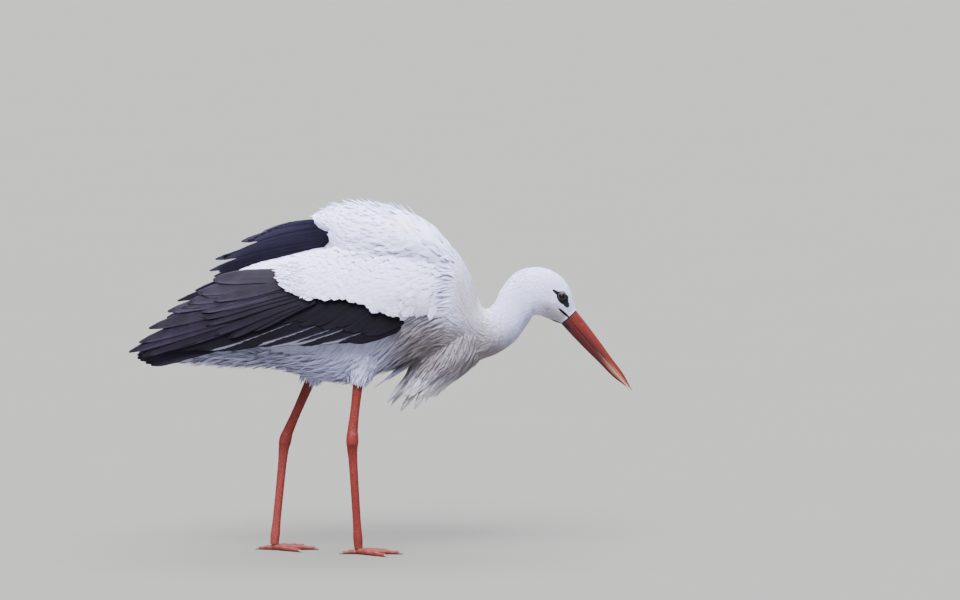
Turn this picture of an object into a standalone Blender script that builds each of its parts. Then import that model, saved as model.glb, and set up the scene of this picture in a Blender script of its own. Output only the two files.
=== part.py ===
"""White stork, life size, standing mid-stride with its head lowered.

Metres, +Z up. The bird faces +X, its left side is +Y. Soles lie on z = 0, and the
finished model is centred over the origin. Every part is a closed solid of its own,
parted from its neighbours by a thin gap.
"""
import math

import bmesh
import bpy
import numpy as np
from mathutils import Vector

# ---------------------------------------------------------------- driving sizes
GAP = 0.0003               # clear gap between neighbouring solids
BODY_SIDES = 22            # points round the trunk and neck
WIDEST_AT = 0.44           # height of the widest line, as a share of the depth

# Sections from tail root to bill base: top x, top z, bottom x, bottom z, half width.
BODY = (
    (-0.300, 0.432, -0.292, 0.372, 0.011),
    (-0.266, 0.468, -0.262, 0.350, 0.023),
    (-0.222, 0.490, -0.228, 0.335, 0.040),
    (-0.157, 0.507, -0.166, 0.318, 0.056),
    (-0.089, 0.524, -0.098, 0.301, 0.065),
    (-0.021, 0.541, -0.052, 0.297, 0.073),
    (0.038, 0.549, 0.004, 0.316, 0.075),
    (0.084, 0.541, 0.055, 0.331, 0.071),
    (0.123, 0.517, 0.098, 0.336, 0.061),
    (0.149, 0.474, 0.128, 0.334, 0.049),
    (0.164, 0.431, 0.152, 0.331, 0.040),
    (0.176, 0.416, 0.178, 0.335, 0.034),
    (0.190, 0.426, 0.203, 0.346, 0.032),
    (0.203, 0.451, 0.227, 0.364, 0.031),
    (0.225, 0.477, 0.246, 0.390, 0.0295),
    (0.254, 0.488, 0.258, 0.405, 0.0280),
    (0.281, 0.485, 0.270, 0.404, 0.0265),
    (0.305, 0.471, 0.284, 0.398, 0.0240),
    (0.320, 0.448, 0.295, 0.393, 0.0195),
    (0.3295, 0.415, 0.3025, 0.3915, 0.0140),
)
TRUNK_SPAN = (0.0, 8.6)    # stations of BODY held by each length
LOWER_NECK_SPAN = (8.6, 12.5)
UPPER_NECK_SPAN = (12.5, 14.8)
HEAD_SPAN = (14.8, 19.0)

BILL_BASE_TOP = (0.3290, 0.4137)
BILL_BASE_MID = (0.3152, 0.4018)
BILL_BASE_LOW = (0.3036, 0.3916)
BILL_TIP = (0.4255, 0.2750)
BILL_TIP_LOW = (0.4190, 0.2810)
BILL_HALF_WIDTH = 0.0122
BILL_OPENING = 0.0010      # gap between the bill halves near the tip

EYE_CENTRE = (0.3050, 0.0172, 0.4405)
EYE_RADIUS = 0.0080

# Hump of mantle and shoulder feathers: x, crown z, half width.
MANTLE = (
    (-0.098, 0.586, 0.044),
    (-0.070, 0.596, 0.056),
    (-0.030, 0.600, 0.063),
    (0.010, 0.592, 0.066),
    (0.050, 0.580, 0.066),
    (0.085, 0.560, 0.059),
    (0.112, 0.535, 0.047),
    (0.132, 0.512, 0.026),
)
MANTLE_FLOOR = 0.506
MANTLE_TIPS = (            # root x, root y, tip x, tip y, tip z of the loose ends
    (-0.060, 0.030, -0.120, 0.034, 0.572),
    (-0.050, 0.012, -0.111, 0.012, 0.587),
    (-0.045, -0.014, -0.094, -0.016, 0.596),
    (-0.020, 0.002, -0.060, 0.004, 0.6005),
    (0.006, 0.006, -0.032, 0.006, 0.6025),
)

# Ruff of breast plumes, from the breast down to the tips: rear x, z, front x, z, half width.
RUFF_CORE = (
    (0.080, 0.402, 0.184, 0.372, 0.036),
    (0.060, 0.362, 0.176, 0.330, 0.043),
    (0.050, 0.330, 0.143, 0.311, 0.040),
    (0.040, 0.305, 0.114, 0.289, 0.033),
    (0.028, 0.283, 0.088, 0.268, 0.025),
    (0.020, 0.268, 0.064, 0.257, 0.015),
)
# Loose plume ends: root x, y, z, tip x, y, tip z, half width.
PLUMES = (
    (0.062, 0.004, 0.276, 0.030, 0.002, 0.240, 0.0120),
    (0.078, -0.008, 0.280, 0.055, -0.009, 0.247, 0.0120),
    (0.040, -0.010, 0.290, 0.009, -0.008, 0.258, 0.0110),
    (0.046, 0.012, 0.290, 0.016, 0.012, 0.252, 0.0110),
    (0.095, 0.010, 0.290, 0.075, 0.008, 0.261, 0.0110),
    (0.118, -0.014, 0.306, 0.098, -0.012, 0.277, 0.0110),
    (0.140, 0.006, 0.322, 0.122, 0.006, 0.296, 0.0110),
    (0.070, -0.022, 0.346, -0.006, -0.024, 0.290, 0.0115),
    (0.070, 0.022, 0.346, 0.002, 0.024, 0.292, 0.0115),
)

# Wing surface: x, half width of the bird, height of the widest line, half height.
WING_FORM = (
    (-0.440, 0.026, 0.352, 0.060),
    (-0.380, 0.036, 0.368, 0.068),
    (-0.300, 0.055, 0.390, 0.082),
    (-0.220, 0.074, 0.410, 0.104),
    (-0.140, 0.086, 0.420, 0.118),
    (-0.050, 0.091, 0.422, 0.128),
    (0.030, 0.086, 0.424, 0.128),
    (0.090, 0.069, 0.436, 0.112),
    (0.120, 0.054, 0.446, 0.100),
)
WING_TUCK = 0.16           # how much the lower edge turns in
LEFT_WING_LIFT = 0.034     # the left wing is carried this much higher at the shoulder

# Outlines of the wing's feather groups in side view, as (x, z) from edge to edge.
COVERT_TOP = ((0.104, 0.482), (0.070, 0.508), (0.030, 0.524), (-0.070, 0.526),
              (-0.140, 0.514), (-0.194, 0.507))
COVERT_LOW = ((0.104, 0.462), (0.070, 0.426), (0.026, 0.399), (-0.052, 0.432),
              (-0.128, 0.446), (-0.186, 0.486))
TERTIAL_ROOT = ((-0.160, 0.510), (-0.140, 0.484), (-0.128, 0.456))
TERTIAL_TIP = ((-0.262, 0.489), (-0.300, 0.467), (-0.334, 0.444), (-0.386, 0.412),
               (-0.434, 0.358), (-0.378, 0.334))
SECONDARY_ROOT = ((-0.132, 0.452), (-0.085, 0.440), (-0.040, 0.430), (0.026, 0.414))
SECONDARY_TIP = ((-0.346, 0.345), (-0.250, 0.364), (-0.130, 0.366), (0.004, 0.381))
PRIMARY_ROOT = ((-0.262, 0.386), (-0.262, 0.362))
PRIMARY_TIP = ((-0.414, 0.337), (-0.417, 0.329), (-0.388, 0.320))
LEFT_COVERT_TOP = ((0.104, 0.482), (0.070, 0.508), (0.030, 0.520), (-0.040, 0.520),
                   (-0.085, 0.508), (-0.112, 0.500))
LEFT_COVERT_LOW = ((0.104, 0.462), (0.070, 0.426), (0.026, 0.399), (-0.052, 0.432),
                   (-0.104, 0.446), (-0.128, 0.470))
LEFT_TERTIAL_ROOT = ((-0.066, 0.562), (-0.060, 0.540), (-0.064, 0.512))
LEFT_TERTIAL_TIP = ((-0.218, 0.532), (-0.256, 0.511), (-0.278, 0.495), (-0.262, 0.478))
LEFT_SECONDARY_TIP = ((-0.404, 0.352), (-0.300, 0.366), (-0.140, 0.378), (0.004, 0.400))
LEFT_SECONDARY_ROOT = ((-0.128, 0.488), (-0.085, 0.470), (-0.040, 0.460), (0.026, 0.444))

TAIL_ROOT = (-0.222, 0.424)
TAIL_TIP = (-0.372, 0.338)
TAIL_HALF_WIDTHS = (0.021, 0.0205)
VENT = (                    # under-tail coverts: top x, z, bottom x, z, half width
    (-0.150, 0.345, -0.150, 0.322, 0.030),
    (-0.200, 0.362, -0.200, 0.323, 0.038),
    (-0.250, 0.366, -0.250, 0.324, 0.036),
    (-0.300, 0.352, -0.300, 0.328, 0.028),
    (-0.340, 0.340, -0.340, 0.331, 0.014),
)

# Legs: where thigh, hock and foot lie, +Y taken outwards on each side.
RIGHT_LEG = {
    "side": -1.0,
    "thigh_top": (-0.026, 0.036, 0.360),
    "thigh_end": (-0.041, 0.039, 0.294),
    "hock": (-0.052, 0.041, 0.198),
    "foot": (-0.041, 0.029, 0.013),
    "toe_turn": 4.0,
    "tufts": ((0.004, 0.004),),
}
LEFT_LEG = {
    "side": 1.0,
    "thigh_top": (-0.106, 0.036, 0.358),
    "thigh_end": (-0.124, 0.044, 0.288),
    "hock": (-0.168, 0.056, 0.187),
    "foot": (-0.185, 0.024, 0.013),
    "toe_turn": 0.0,
    "tufts": ((0.006, -0.002), (0.034, 0.018)),
}
THIGH_RADII = (0.034, 0.033, 0.024, 0.0115)
SHIN_RADIUS = 0.0079
TARSUS_RADIUS = 0.0073
HOCK_RADIUS = 0.0113
TOES = {                    # angle outwards, length without claw, claw, girth
    "inner": (-35.0, 0.052, 0.0085, 0.0050),
    "middle": (0.0, 0.068, 0.0095, 0.0054),
    "outer": (35.0, 0.058, 0.0085, 0.0050),
    "hind": (172.0, 0.026, 0.0080, 0.0044),
}
TOE_ROOT = 0.021            # where the front toes leave the root of the foot
HIND_ROOT = 0.010
WEB_REACH = 0.0165
FOOT_WAIST = 0.0068
FOOT_HEIGHT = 0.0125
FOOT_PROFILE = ((0.95, 0.0), (1.0, 0.0030), (0.99, 0.0072), (0.60, 0.0108), (0.34, FOOT_HEIGHT))

COLOURS = {
    "white": (0.86, 0.86, 0.88),
    "cream": (0.74, 0.70, 0.66),
    "black": (0.030, 0.026, 0.038),
    "bill": (0.52, 0.10, 0.05),
    "bill_dark": (0.34, 0.05, 0.04),
    "leg": (0.55, 0.10, 0.055),
    "claw": (0.16, 0.10, 0.07),
    "eye": (0.010, 0.008, 0.008),
}

# ---------------------------------------------------------------- scene helpers
for old in list(bpy.data.objects):
    bpy.data.objects.remove(old, do_unlink=True)

PARTS = bpy.data.collections.new("white_stork")
CUTTERS = bpy.data.collections.new("cutters")
CUT_SHAPES = {}            # cutters of solids that are made of several pieces
for group in (PARTS, CUTTERS):
    bpy.context.scene.collection.children.link(group)


def material(name, colour, roughness):
    """A plain Principled material."""
    made = bpy.data.materials.new(name)
    made.use_nodes = True
    shader = made.node_tree.nodes["Principled BSDF"]
    shader.inputs["Base Color"].default_value = (*colour, 1.0)
    shader.inputs["Roughness"].default_value = roughness
    made.diffuse_color = (*colour, 1.0)
    return made


def solid(name, verts, faces, colour, roughness=0.7):
    """A closed mesh object in the parts collection, faces outward."""
    mesh = bpy.data.meshes.new(name)
    mesh.from_pydata([tuple(p) for p in verts], [], faces)
    work = bmesh.new()
    work.from_mesh(mesh)
    bmesh.ops.remove_doubles(work, verts=work.verts, dist=1e-6)
    bmesh.ops.recalc_face_normals(work, faces=work.faces)
    bmesh.ops.triangulate(work, faces=work.faces)
    for face in work.faces:
        face.smooth = True
    work.to_mesh(mesh)
    work.free()
    made = bpy.data.objects.new(name, mesh)
    made.data.materials.append(material(name, COLOURS[colour], roughness))
    PARTS.objects.link(made)
    return made


def smooth_rows(rows, at):
    """Values of a table of rows at row positions `at`, on a smooth curve."""
    rows = np.array(rows, float)
    at = np.clip(np.asarray(at, float), 0.0, len(rows) - 1.0)
    low = np.minimum(at.astype(int), len(rows) - 2)
    part = (at - low)[:, None]
    padded = np.vstack([2 * rows[:1] - rows[1:2], rows, 2 * rows[-1:] - rows[-2:-1]])
    before, start = padded[low], padded[low + 1]
    end, after = padded[low + 2], padded[low + 3]
    slope_a, slope_b = (end - before) / 2, (after - start) / 2
    c2, c3 = part * part, part * part * part
    return ((2 * c3 - 3 * c2 + 1) * start + (c3 - 2 * c2 + part) * slope_a
            + (3 * c2 - 2 * c3) * end + (c3 - c2) * slope_b)


def along(points, share):
    """Points at shares 0 to 1 of a smooth curve through `points`."""
    return smooth_rows(points, np.asarray(share, float) * (len(points) - 1))


def loft_faces(rings, sides, open_start=False):
    """Quads between rings, with the first and last ring closed by one face."""
    faces = []
    for r in range(rings - 1):
        for s in range(sides):
            t = (s + 1) % sides
            a, b = r * sides, (r + 1) * sides
            faces.append((a + s, a + t, b + t, b + s))
    if not open_start:
        faces.append(tuple(reversed(range(sides))))
    faces.append(tuple((rings - 1) * sides + s for s in range(sides)))
    return faces


def loft(name, rings, colour, roughness=0.7):
    """A solid through rings of equal point counts."""
    rings = np.asarray(rings, float)
    count, sides = rings.shape[:2]
    return solid(name, rings.reshape(-1, 3), loft_faces(count, sides), colour, roughness)


def body_rings(rows, sides, top_power=2.0):
    """Upright egg-shaped rings between each row's top and bottom point.

    y = half width * cos(angle), and the height runs from the widest line to the top
    or the bottom point with sin(angle).
    """
    rows = np.asarray(rows, float)
    angle = np.arange(sides) / sides * 2 * math.pi
    side = np.sign(np.cos(angle)) * np.abs(np.cos(angle)) ** (2 / top_power)
    rise = np.sin(angle)
    share = np.where(rise > 0, WIDEST_AT + (1 - WIDEST_AT) * rise, WIDEST_AT * (1 + rise))
    x = rows[:, 2:3] + (rows[:, 0:1] - rows[:, 2:3]) * share
    z = rows[:, 3:4] + (rows[:, 1:2] - rows[:, 3:4]) * share
    y = rows[:, 4:5] * side
    return np.stack([x, np.broadcast_to(y, x.shape), z], axis=2)


def tube_rings(points, radii, sides, flatten=1.0):
    """Round rings square to a path; `flatten` scales them sideways."""
    points = np.asarray(points, float)
    ways = np.gradient(points, axis=0)
    ways /= np.linalg.norm(ways, axis=1)[:, None]
    across = np.cross(ways, (0.0, 0.0, 1.0))
    lean = np.linalg.norm(across, axis=1) < 0.2
    across[lean] = np.cross(ways[lean], (1.0, 0.0, 0.0))
    across = np.cross(ways, (1.0, 0.0, 0.0)) if lean.any() else across
    across /= np.linalg.norm(across, axis=1)[:, None]
    other = np.cross(across, ways)
    angle = np.arange(sides) / sides * 2 * math.pi
    radii = np.asarray(radii, float)[:, None, None]
    return (points[:, None] + radii * (flatten * np.cos(angle)[None, :, None] * across[:, None]
            + np.sin(angle)[None, :, None] * other[:, None]))


def lance(name, root, tip, half_width, thickness, colour, bow=0.0, stations=4):
    """A pointed feather blade: widest at its middle, bowed along its length."""
    root, tip = np.array(root, float), np.array(tip, float)
    share = np.linspace(0.0, 1.0, stations)
    path = root + (tip - root) * share[:, None]
    path[:, 2] += bow * np.sin(share * math.pi)
    path[:, 0] -= 0.5 * bow * np.sin(share * math.pi)
    width = half_width * np.maximum(np.sqrt(np.clip(1 - share ** 1.8, 0, 1)), 0.07)
    width[0] = half_width * 0.75
    way = (tip - root) / np.linalg.norm(tip - root)
    side = np.array((0.0, 1.0, 0.0))
    side -= way * side.dot(way)
    side /= np.linalg.norm(side)
    face = np.cross(side, way)
    shape = ((1, 0), (0, 0.9), (-1, 0), (0, -0.9))
    rings = [[p + side * (u * w) + face * (v * thickness * (0.25 + 0.75 * w / half_width))
              for u, v in shape] for p, w in zip(path, width)]
    return loft(name, rings, colour)


def evaluated_mesh(obj):
    """The object's mesh with its modifiers applied."""
    bpy.context.view_layer.update()
    graph = bpy.context.evaluated_depsgraph_get()
    return bpy.data.meshes.new_from_object(obj.evaluated_get(graph))


def applied(obj):
    """Bakes the object's modifiers into its own mesh."""
    mesh = evaluated_mesh(obj)
    obj.modifiers.clear()
    kept = obj.data.materials[0]
    old = obj.data
    obj.data = mesh
    obj.data.materials.clear()
    obj.data.materials.append(kept)
    for face in obj.data.polygons:
        face.material_index = 0
        face.use_smooth = True
    bpy.data.meshes.remove(old)
    return obj


def joined(obj, others):
    """Unites solids that overlap `obj` into it, and keeps a cutter of each."""
    CUT_SHAPES[obj.name] = [grown(piece, GAP) for piece in (obj, *others)]
    for other in others:
        step = obj.modifiers.new("join", "BOOLEAN")
        step.operation, step.solver, step.object = "UNION", "EXACT", other
        applied(obj)
        bpy.data.objects.remove(other, do_unlink=True)
    return obj


def grown(obj, amount):
    """A cutter: a copy of the solid swollen evenly by `amount`."""
    work = bmesh.new()
    work.from_mesh(obj.data)
    work.normal_update()
    moves = [v.normal * amount * min(v.calc_shell_factor(), 2.2) for v in work.verts]
    for vert, move in zip(work.verts, moves):
        vert.co += move
    mesh = bpy.data.meshes.new(obj.name + "_cut")
    work.to_mesh(mesh)
    work.free()
    made = bpy.data.objects.new(obj.name + "_cut", mesh)
    made.hide_render = True
    made.display_type = "WIRE"
    CUTTERS.objects.link(made)
    return made


def without_crumbs(obj):
    """Keeps the largest connected piece of a solid and drops cut-off crumbs."""
    work = bmesh.new()
    work.from_mesh(obj.data)
    loose, pieces = set(work.verts), []
    while loose:
        front = [loose.pop()]
        piece = list(front)
        while front:
            near = [e.other_vert(v) for v in front for e in v.link_edges]
            front = [v for v in dict.fromkeys(near) if v in loose]
            loose.difference_update(front)
            piece += front
        pieces.append(piece)
    pieces.sort(key=len)
    crumbs = [v for piece in pieces[:-1] for v in piece]
    bmesh.ops.delete(work, geom=crumbs, context="VERTS")
    work.to_mesh(obj.data)
    work.free()
    return obj


def cut(obj, others):
    """Clears `obj` away from the space of the others, plus the gap."""
    for other in others:
        for shape in CUT_SHAPES.get(other.name) or [grown(other, GAP)]:
            step = obj.modifiers.new("clear_" + other.name, "BOOLEAN")
            step.operation, step.solver, step.object = "DIFFERENCE", "EXACT", shape
    return without_crumbs(applied(obj))


# ---------------------------------------------------------------- head and body
def body_length(name, span, stations, colour="white"):
    """One length of the body, parted from the next by the gap."""
    rows = smooth_rows(BODY, np.linspace(span[0], span[1], stations))
    rings = body_rings(rows, BODY_SIDES, 2.15)
    middle = rings.mean(axis=1)
    for end, inner, trim in ((0, 1, span[0] > 0.0), (-1, -2, True)):
        if trim:
            way = middle[inner] - middle[end]
            rings[end] += way / np.linalg.norm(way) * GAP * 0.6
    return loft(name, rings, colour)


def make_eye(name, side):
    """A round eye, set in the side of the head."""
    mesh = bpy.data.meshes.new(name)
    work = bmesh.new()
    bmesh.ops.create_uvsphere(work, u_segments=12, v_segments=8, radius=EYE_RADIUS)
    x, y, z = EYE_CENTRE
    for vert in work.verts:
        vert.co = Vector((vert.co.x + x, vert.co.z * side + side * y, vert.co.y + z))
    bmesh.ops.recalc_face_normals(work, faces=work.faces)
    verts = [v.co[:] for v in work.verts]
    work.verts.index_update()
    faces = [tuple(v.index for v in f.verts) for f in work.faces]
    work.free()
    bpy.data.meshes.remove(mesh)
    return solid(name, verts, faces, "eye", 0.08)


def bill_half(name, upper):
    """One half of the bill: a long tapering half-cone, flat where the halves meet."""
    share = np.linspace(0.0, 1.0, 9)
    base_edge, tip_edge = (BILL_BASE_TOP, BILL_TIP) if upper else (BILL_BASE_LOW, BILL_TIP_LOW)
    tip_mid = BILL_TIP if upper else BILL_TIP_LOW
    edge = np.array(base_edge) + (np.array(tip_edge) - np.array(base_edge)) * share[:, None]
    mid = np.array(BILL_BASE_MID) + (np.array(tip_mid) - np.array(BILL_BASE_MID)) * share[:, None]
    along_bill = np.array(BILL_TIP) - np.array(BILL_BASE_MID)
    along_bill /= np.linalg.norm(along_bill)
    away = np.array((-along_bill[1], along_bill[0])) * (1.0 if upper else -1.0)
    fullness = (0.0034 * np.clip(np.sin(share * math.pi), 0.0, 1.0) ** 0.9
                + 0.0024 * np.exp(-((share - 0.80) / 0.15) ** 2))
    edge += away * fullness[:, None]
    parting = 0.5 * GAP + 0.5 * BILL_OPENING * share
    mid += away * parting[:, None]
    width = BILL_HALF_WIDTH * (0.13 + 0.87 * (1 - share) ** 0.92)
    angle = np.linspace(0.0, math.pi, 9)
    rings = []
    for e, m, w in zip(edge, mid, width):
        depth = e - m
        ring = [(m[0] + depth[0] * math.sin(a) ** 0.85, w * math.cos(a),
                 m[1] + depth[1] * math.sin(a) ** 0.85) for a in angle[1:-1]]
        ring = [(m[0], w, m[1]), *ring, (m[0], -w, m[1]), (m[0], 0.0, m[1])]
        rings.append(ring)
    made = loft(name, rings, "bill" if upper else "bill_dark", 0.4)
    return made


# ---------------------------------------------------------------- plumage
def make_mantle():
    """The raised hump of mantle and shoulder feathers, with loose ends behind."""
    rows = smooth_rows(MANTLE, np.linspace(0, len(MANTLE) - 1, 9))
    angle = np.linspace(0.0, math.pi, 13)
    rings = []
    for x, crown, half in rows:
        height = max(crown - MANTLE_FLOOR, 0.004)
        ring = [(x, half * math.cos(a), MANTLE_FLOOR + height * math.sin(a) ** 0.8) for a in angle]
        ring.append((x, 0.0, MANTLE_FLOOR - 0.004))
        rings.append(ring)
    hump = loft("mantle", rings, "white")
    ends = [lance("end", (rx, ry, tz - 0.012), (tx, ty, tz), 0.012, 0.0060, "white", 0.004)
            for rx, ry, tx, ty, tz in MANTLE_TIPS]
    for side in (-1, 1):
        ends.append(lance("end", (-0.045, side * 0.052, 0.536), (-0.096, side * 0.047, 0.531),
                          0.015, 0.0090, "white"))
    return joined(hump, ends)


def make_ruff():
    """The hanging breast plumes: a full core with long pointed ends."""
    rows = smooth_rows(RUFF_CORE, np.linspace(0, len(RUFF_CORE) - 1, 8))
    core = loft("ruff", body_rings(rows, 16), "cream")
    plumes = [lance("plume", row[:3], row[3:6], row[6], 0.0055, "cream", -0.006)
              for row in PLUMES]
    return joined(core, plumes)


def make_vent():
    """Soft under-tail coverts, ending in a few points."""
    rows = smooth_rows(VENT, np.linspace(0, len(VENT) - 1, 7))
    core = loft("vent", body_rings(rows, 14), "white")
    tips = [lance("tip", (-0.270, 0.014 * k, 0.337), (-0.350 + 0.006 * abs(k), 0.010 * k, 0.3295),
                  0.011, 0.0040, "white") for k in (-1, 0, 1)]
    return joined(core, tips)


def wing_face(x, z):
    """Distance of the folded wing's outer face from the bird's middle plane.

    Half width * square root of 1 - (height above the widest line / half height)
    squared; below that line it turns in slightly.
    """
    x, z = np.asarray(x, float), np.asarray(z, float)
    form = np.array(WING_FORM)
    place = np.interp(x, form[:, 0], np.arange(len(form)))
    half, middle, reach = smooth_rows(form[:, 1:], place.ravel()).T.reshape(3, *x.shape)
    rise = (z - middle) / reach
    above = np.sqrt(np.clip(1 - np.clip(rise, 0, 0.975) ** 2, 0, 1))
    below = 1 - WING_TUCK * np.clip(-rise, 0, 2) ** 2
    return half * np.where(rise > 0, above, below)


def feather_shares(count):
    """Positions across a row of feathers: near edge, middle and far edge of each."""
    return np.array([(k + s) / count for k in range(count) for s in (0.03, 0.5, 0.97)])


def wing_rise(side, x):
    """How much higher than the right wing the wing on this side is carried at x."""
    share = np.clip((np.asarray(x, float) + 0.40) / 0.30, 0.0, 1.0)
    return (LEFT_WING_LIFT if side > 0 else 0.0) * share * share * (3 - 2 * share)


def feather_plate(name, side, root, tip, count, colour, layer, thickness, step, lobe,
                  bow=0.0, stations=5):
    """A row of overlapping flight feathers as one plate on the wing's face.

    Point(a, b) runs from the root line to the tip line with a, and across the
    feathers with b. Each feather's outer face slopes by `step`, and its middle
    reaches `lobe` past its edges. `bow` arches the first feathers upward.
    """
    across = feather_shares(count)
    down = np.linspace(0.0, 1.0, stations)
    start, end = along(root, across), along(tip, across)
    middle = np.tile((0.0, 1.0, 0.0), count)
    way = end - start
    length = np.linalg.norm(way, axis=1)[:, None]
    end = end + way / length * lobe * (middle[:, None] - 0.65)
    x = start[None, :, 0] + (end - start)[None, :, 0] * down[:, None]
    z = start[None, :, 1] + (end - start)[None, :, 1] * down[:, None]
    z = z + bow * np.sin(down * math.pi)[:, None] * (1 - across[None, :])
    slope = np.tile((0.0, 0.5, 1.0), count) * step
    face = wing_face(x, z - wing_rise(side, x)) - layer
    face = face - slope[None, :] * (0.3 + 0.7 * down[:, None])
    thin = thickness * (1.0 - 0.72 * down[:, None]) * np.ones_like(x)
    thin = np.maximum(thin, 0.0016)
    outer = np.stack([x, side * face, z], axis=2)
    inner = np.stack([x, side * (face - thin), z], axis=2)
    return plate(name, outer, inner, colour)


def plate(name, outer, inner, colour):
    """A closed solid between two grids of points."""
    rows, cols = outer.shape[:2]
    verts = np.vstack([outer.reshape(-1, 3), inner.reshape(-1, 3)])
    shift = rows * cols
    faces = []
    for r in range(rows - 1):
        for c in range(cols - 1):
            a = r * cols + c
            quad = (a, a + 1, a + cols + 1, a + cols)
            faces.append(quad)
            faces.append(tuple(shift + v for v in reversed(quad)))
    rim = [c for c in range(cols)] + [r * cols + cols - 1 for r in range(1, rows)]
    rim += [(rows - 1) * cols + c for c in range(cols - 2, -1, -1)]
    rim += [r * cols for r in range(rows - 2, 0, -1)]
    for a, b in zip(rim, rim[1:] + rim[:1]):
        faces.append((a, a + shift, b + shift, b))
    return solid(name, verts, faces, colour, 0.55)


def covert_plate(name, side, top_line, low_line):
    """The white panel of coverts over the folded arm, thick at the shoulder."""
    share = np.linspace(0.0, 1.0, 11)
    down = np.linspace(0.0, 1.0, 6)
    top, low = along(top_line, share), along(low_line, share)
    scallop = 0.0022 * np.cos(np.arange(11) * math.pi)
    low = low + np.stack([0 * scallop, scallop], axis=1)
    x = top[:, None, 0] + (low - top)[:, None, 0] * down[None, :]
    z = top[:, None, 1] + (low - top)[:, None, 1] * down[None, :]
    round_off = np.sin(np.clip(down, 0.03, 0.97) * math.pi)[None, :] ** 0.5
    ends = np.sin(np.clip(share + 0.05, 0.05, 0.96) * math.pi)[:, None] ** 0.4
    bulge = (0.003 + 0.003 * (1 - share[:, None])) * round_off * ends
    face = wing_face(x, z) + bulge
    thickness = (0.019 - 0.009 * share[:, None]) * round_off * ends + 0.0014
    z = z + wing_rise(side, x)
    outer = np.stack([x, side * face, z], axis=2)
    inner = np.stack([x, side * (face - thickness), z], axis=2)
    return plate(name, outer, inner, "white")


def make_wing(word, side):
    """The four feather groups of one folded wing, outermost first."""
    right = side < 0
    coverts = covert_plate(f"wing_{word}_coverts", side,
                           COVERT_TOP if right else LEFT_COVERT_TOP,
                           COVERT_LOW if right else LEFT_COVERT_LOW)
    tertials = feather_plate(
        f"wing_{word}_tertials", side,
        TERTIAL_ROOT if right else LEFT_TERTIAL_ROOT,
        TERTIAL_TIP if right else LEFT_TERTIAL_TIP,
        5 if right else 4, "black", 0.0025 if right else 0.001, 0.0060, 0.0016, 0.010,
        0.0 if right else 0.014)
    secondaries = feather_plate(
        f"wing_{word}_secondaries", side,
        SECONDARY_ROOT if right else LEFT_SECONDARY_ROOT,
        SECONDARY_TIP if right else LEFT_SECONDARY_TIP,
        5, "black", 0.0052, 0.0060, -0.0016, 0.007)
    primaries = feather_plate(
        f"wing_{word}_primaries", side, PRIMARY_ROOT, PRIMARY_TIP, 3, "black",
        0.0125, 0.0050, 0.0010, 0.008)
    return coverts, tertials, secondaries, primaries


def make_tail():
    """The short square tail, twelve feathers folded to five across."""
    count, stations = 5, 3
    across = feather_shares(count) * 2 - 1
    down = np.linspace(0.0, 1.0, stations)
    way = np.array(TAIL_TIP) - np.array(TAIL_ROOT)
    lobe = np.tile((-0.3, 0.4, -0.3), count) * 0.008 / np.linalg.norm(way)
    reach = down[:, None] * (1.0 + lobe[None, :] - 0.05 * across[None, :] ** 2)
    x = TAIL_ROOT[0] + way[0] * reach
    half = TAIL_HALF_WIDTHS[0] + (TAIL_HALF_WIDTHS[1] - TAIL_HALF_WIDTHS[0]) * down[:, None]
    y = across[None, :] * half
    crown = 0.006 * (1 - across[None, :] ** 2) + np.tile((0.0, 0.0006, 0.0), count)[None, :]
    z = TAIL_ROOT[1] + way[1] * reach + crown
    thin = (0.012 - 0.0090 * down[:, None]) * np.ones_like(x)
    upper = np.stack([x, y * np.ones_like(x), z + thin * 0.5], axis=2)
    lower = np.stack([x, y * np.ones_like(x), z - thin * 0.5], axis=2)
    return plate("tail", upper, lower, "white")


# ---------------------------------------------------------------- legs
def placed(leg, key):
    """A leg landmark with its side applied."""
    x, y, z = leg[key]
    return np.array((x, y * leg["side"], z))


def make_thigh(name, leg):
    """The feathered thigh, full above and drawn in to the bare shin."""
    share = np.linspace(0.0, 1.0, 5)
    start, end = placed(leg, "thigh_top"), placed(leg, "thigh_end")
    path = start + (end - start) * share[:, None]
    radii = along([(r,) for r in THIGH_RADII], share).ravel()
    core = loft(name, tube_rings(path, radii, 12, 0.72), "white")
    side = leg["side"]
    tufts = [lance("tuft", (end[0] + 0.004 - 0.4 * back, end[1] - 0.006 * side, end[2] + 0.036),
                   (end[0] - back - 0.012, end[1] - 0.008 * side, end[2] + drop),
                   0.012, 0.007, "white") for back, drop in leg["tufts"]]
    return joined(core, tufts)


def make_shin(name, leg):
    """The bare lower shin between thigh and hock."""
    start, end = placed(leg, "thigh_end"), placed(leg, "hock")
    way = (end - start) / np.linalg.norm(end - start)
    start = start + way * GAP
    end = end - way * (0.017 + GAP)
    share = np.linspace(0.0, 1.0, 6)
    radii = SHIN_RADIUS * (1.0 + 0.12 * np.cos(share * 2 * math.pi)) + 0.0008 * share
    return loft(name, tube_rings(start + (end - start) * share[:, None], radii, 10, 0.88), "leg")


def make_hock(name, leg):
    """The knobbed hock joint, its bulge towards the front."""
    above, centre, foot = placed(leg, "thigh_end"), placed(leg, "hock"), placed(leg, "foot")
    up = (above - centre) / np.linalg.norm(above - centre)
    down = (foot - centre) / np.linalg.norm(foot - centre)
    path = np.array([centre + up * 0.017, centre + up * 0.009, centre + up * 0.001,
                     centre + down * 0.007, centre + down * 0.014, centre + down * 0.021])
    path[2:4, 0] += 0.0012
    radii = np.array((0.0088, 0.0106, 1.03 * HOCK_RADIUS, HOCK_RADIUS, 0.0092, 0.0077))
    return loft(name, tube_rings(path, radii, 12, 0.84), "leg")


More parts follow.
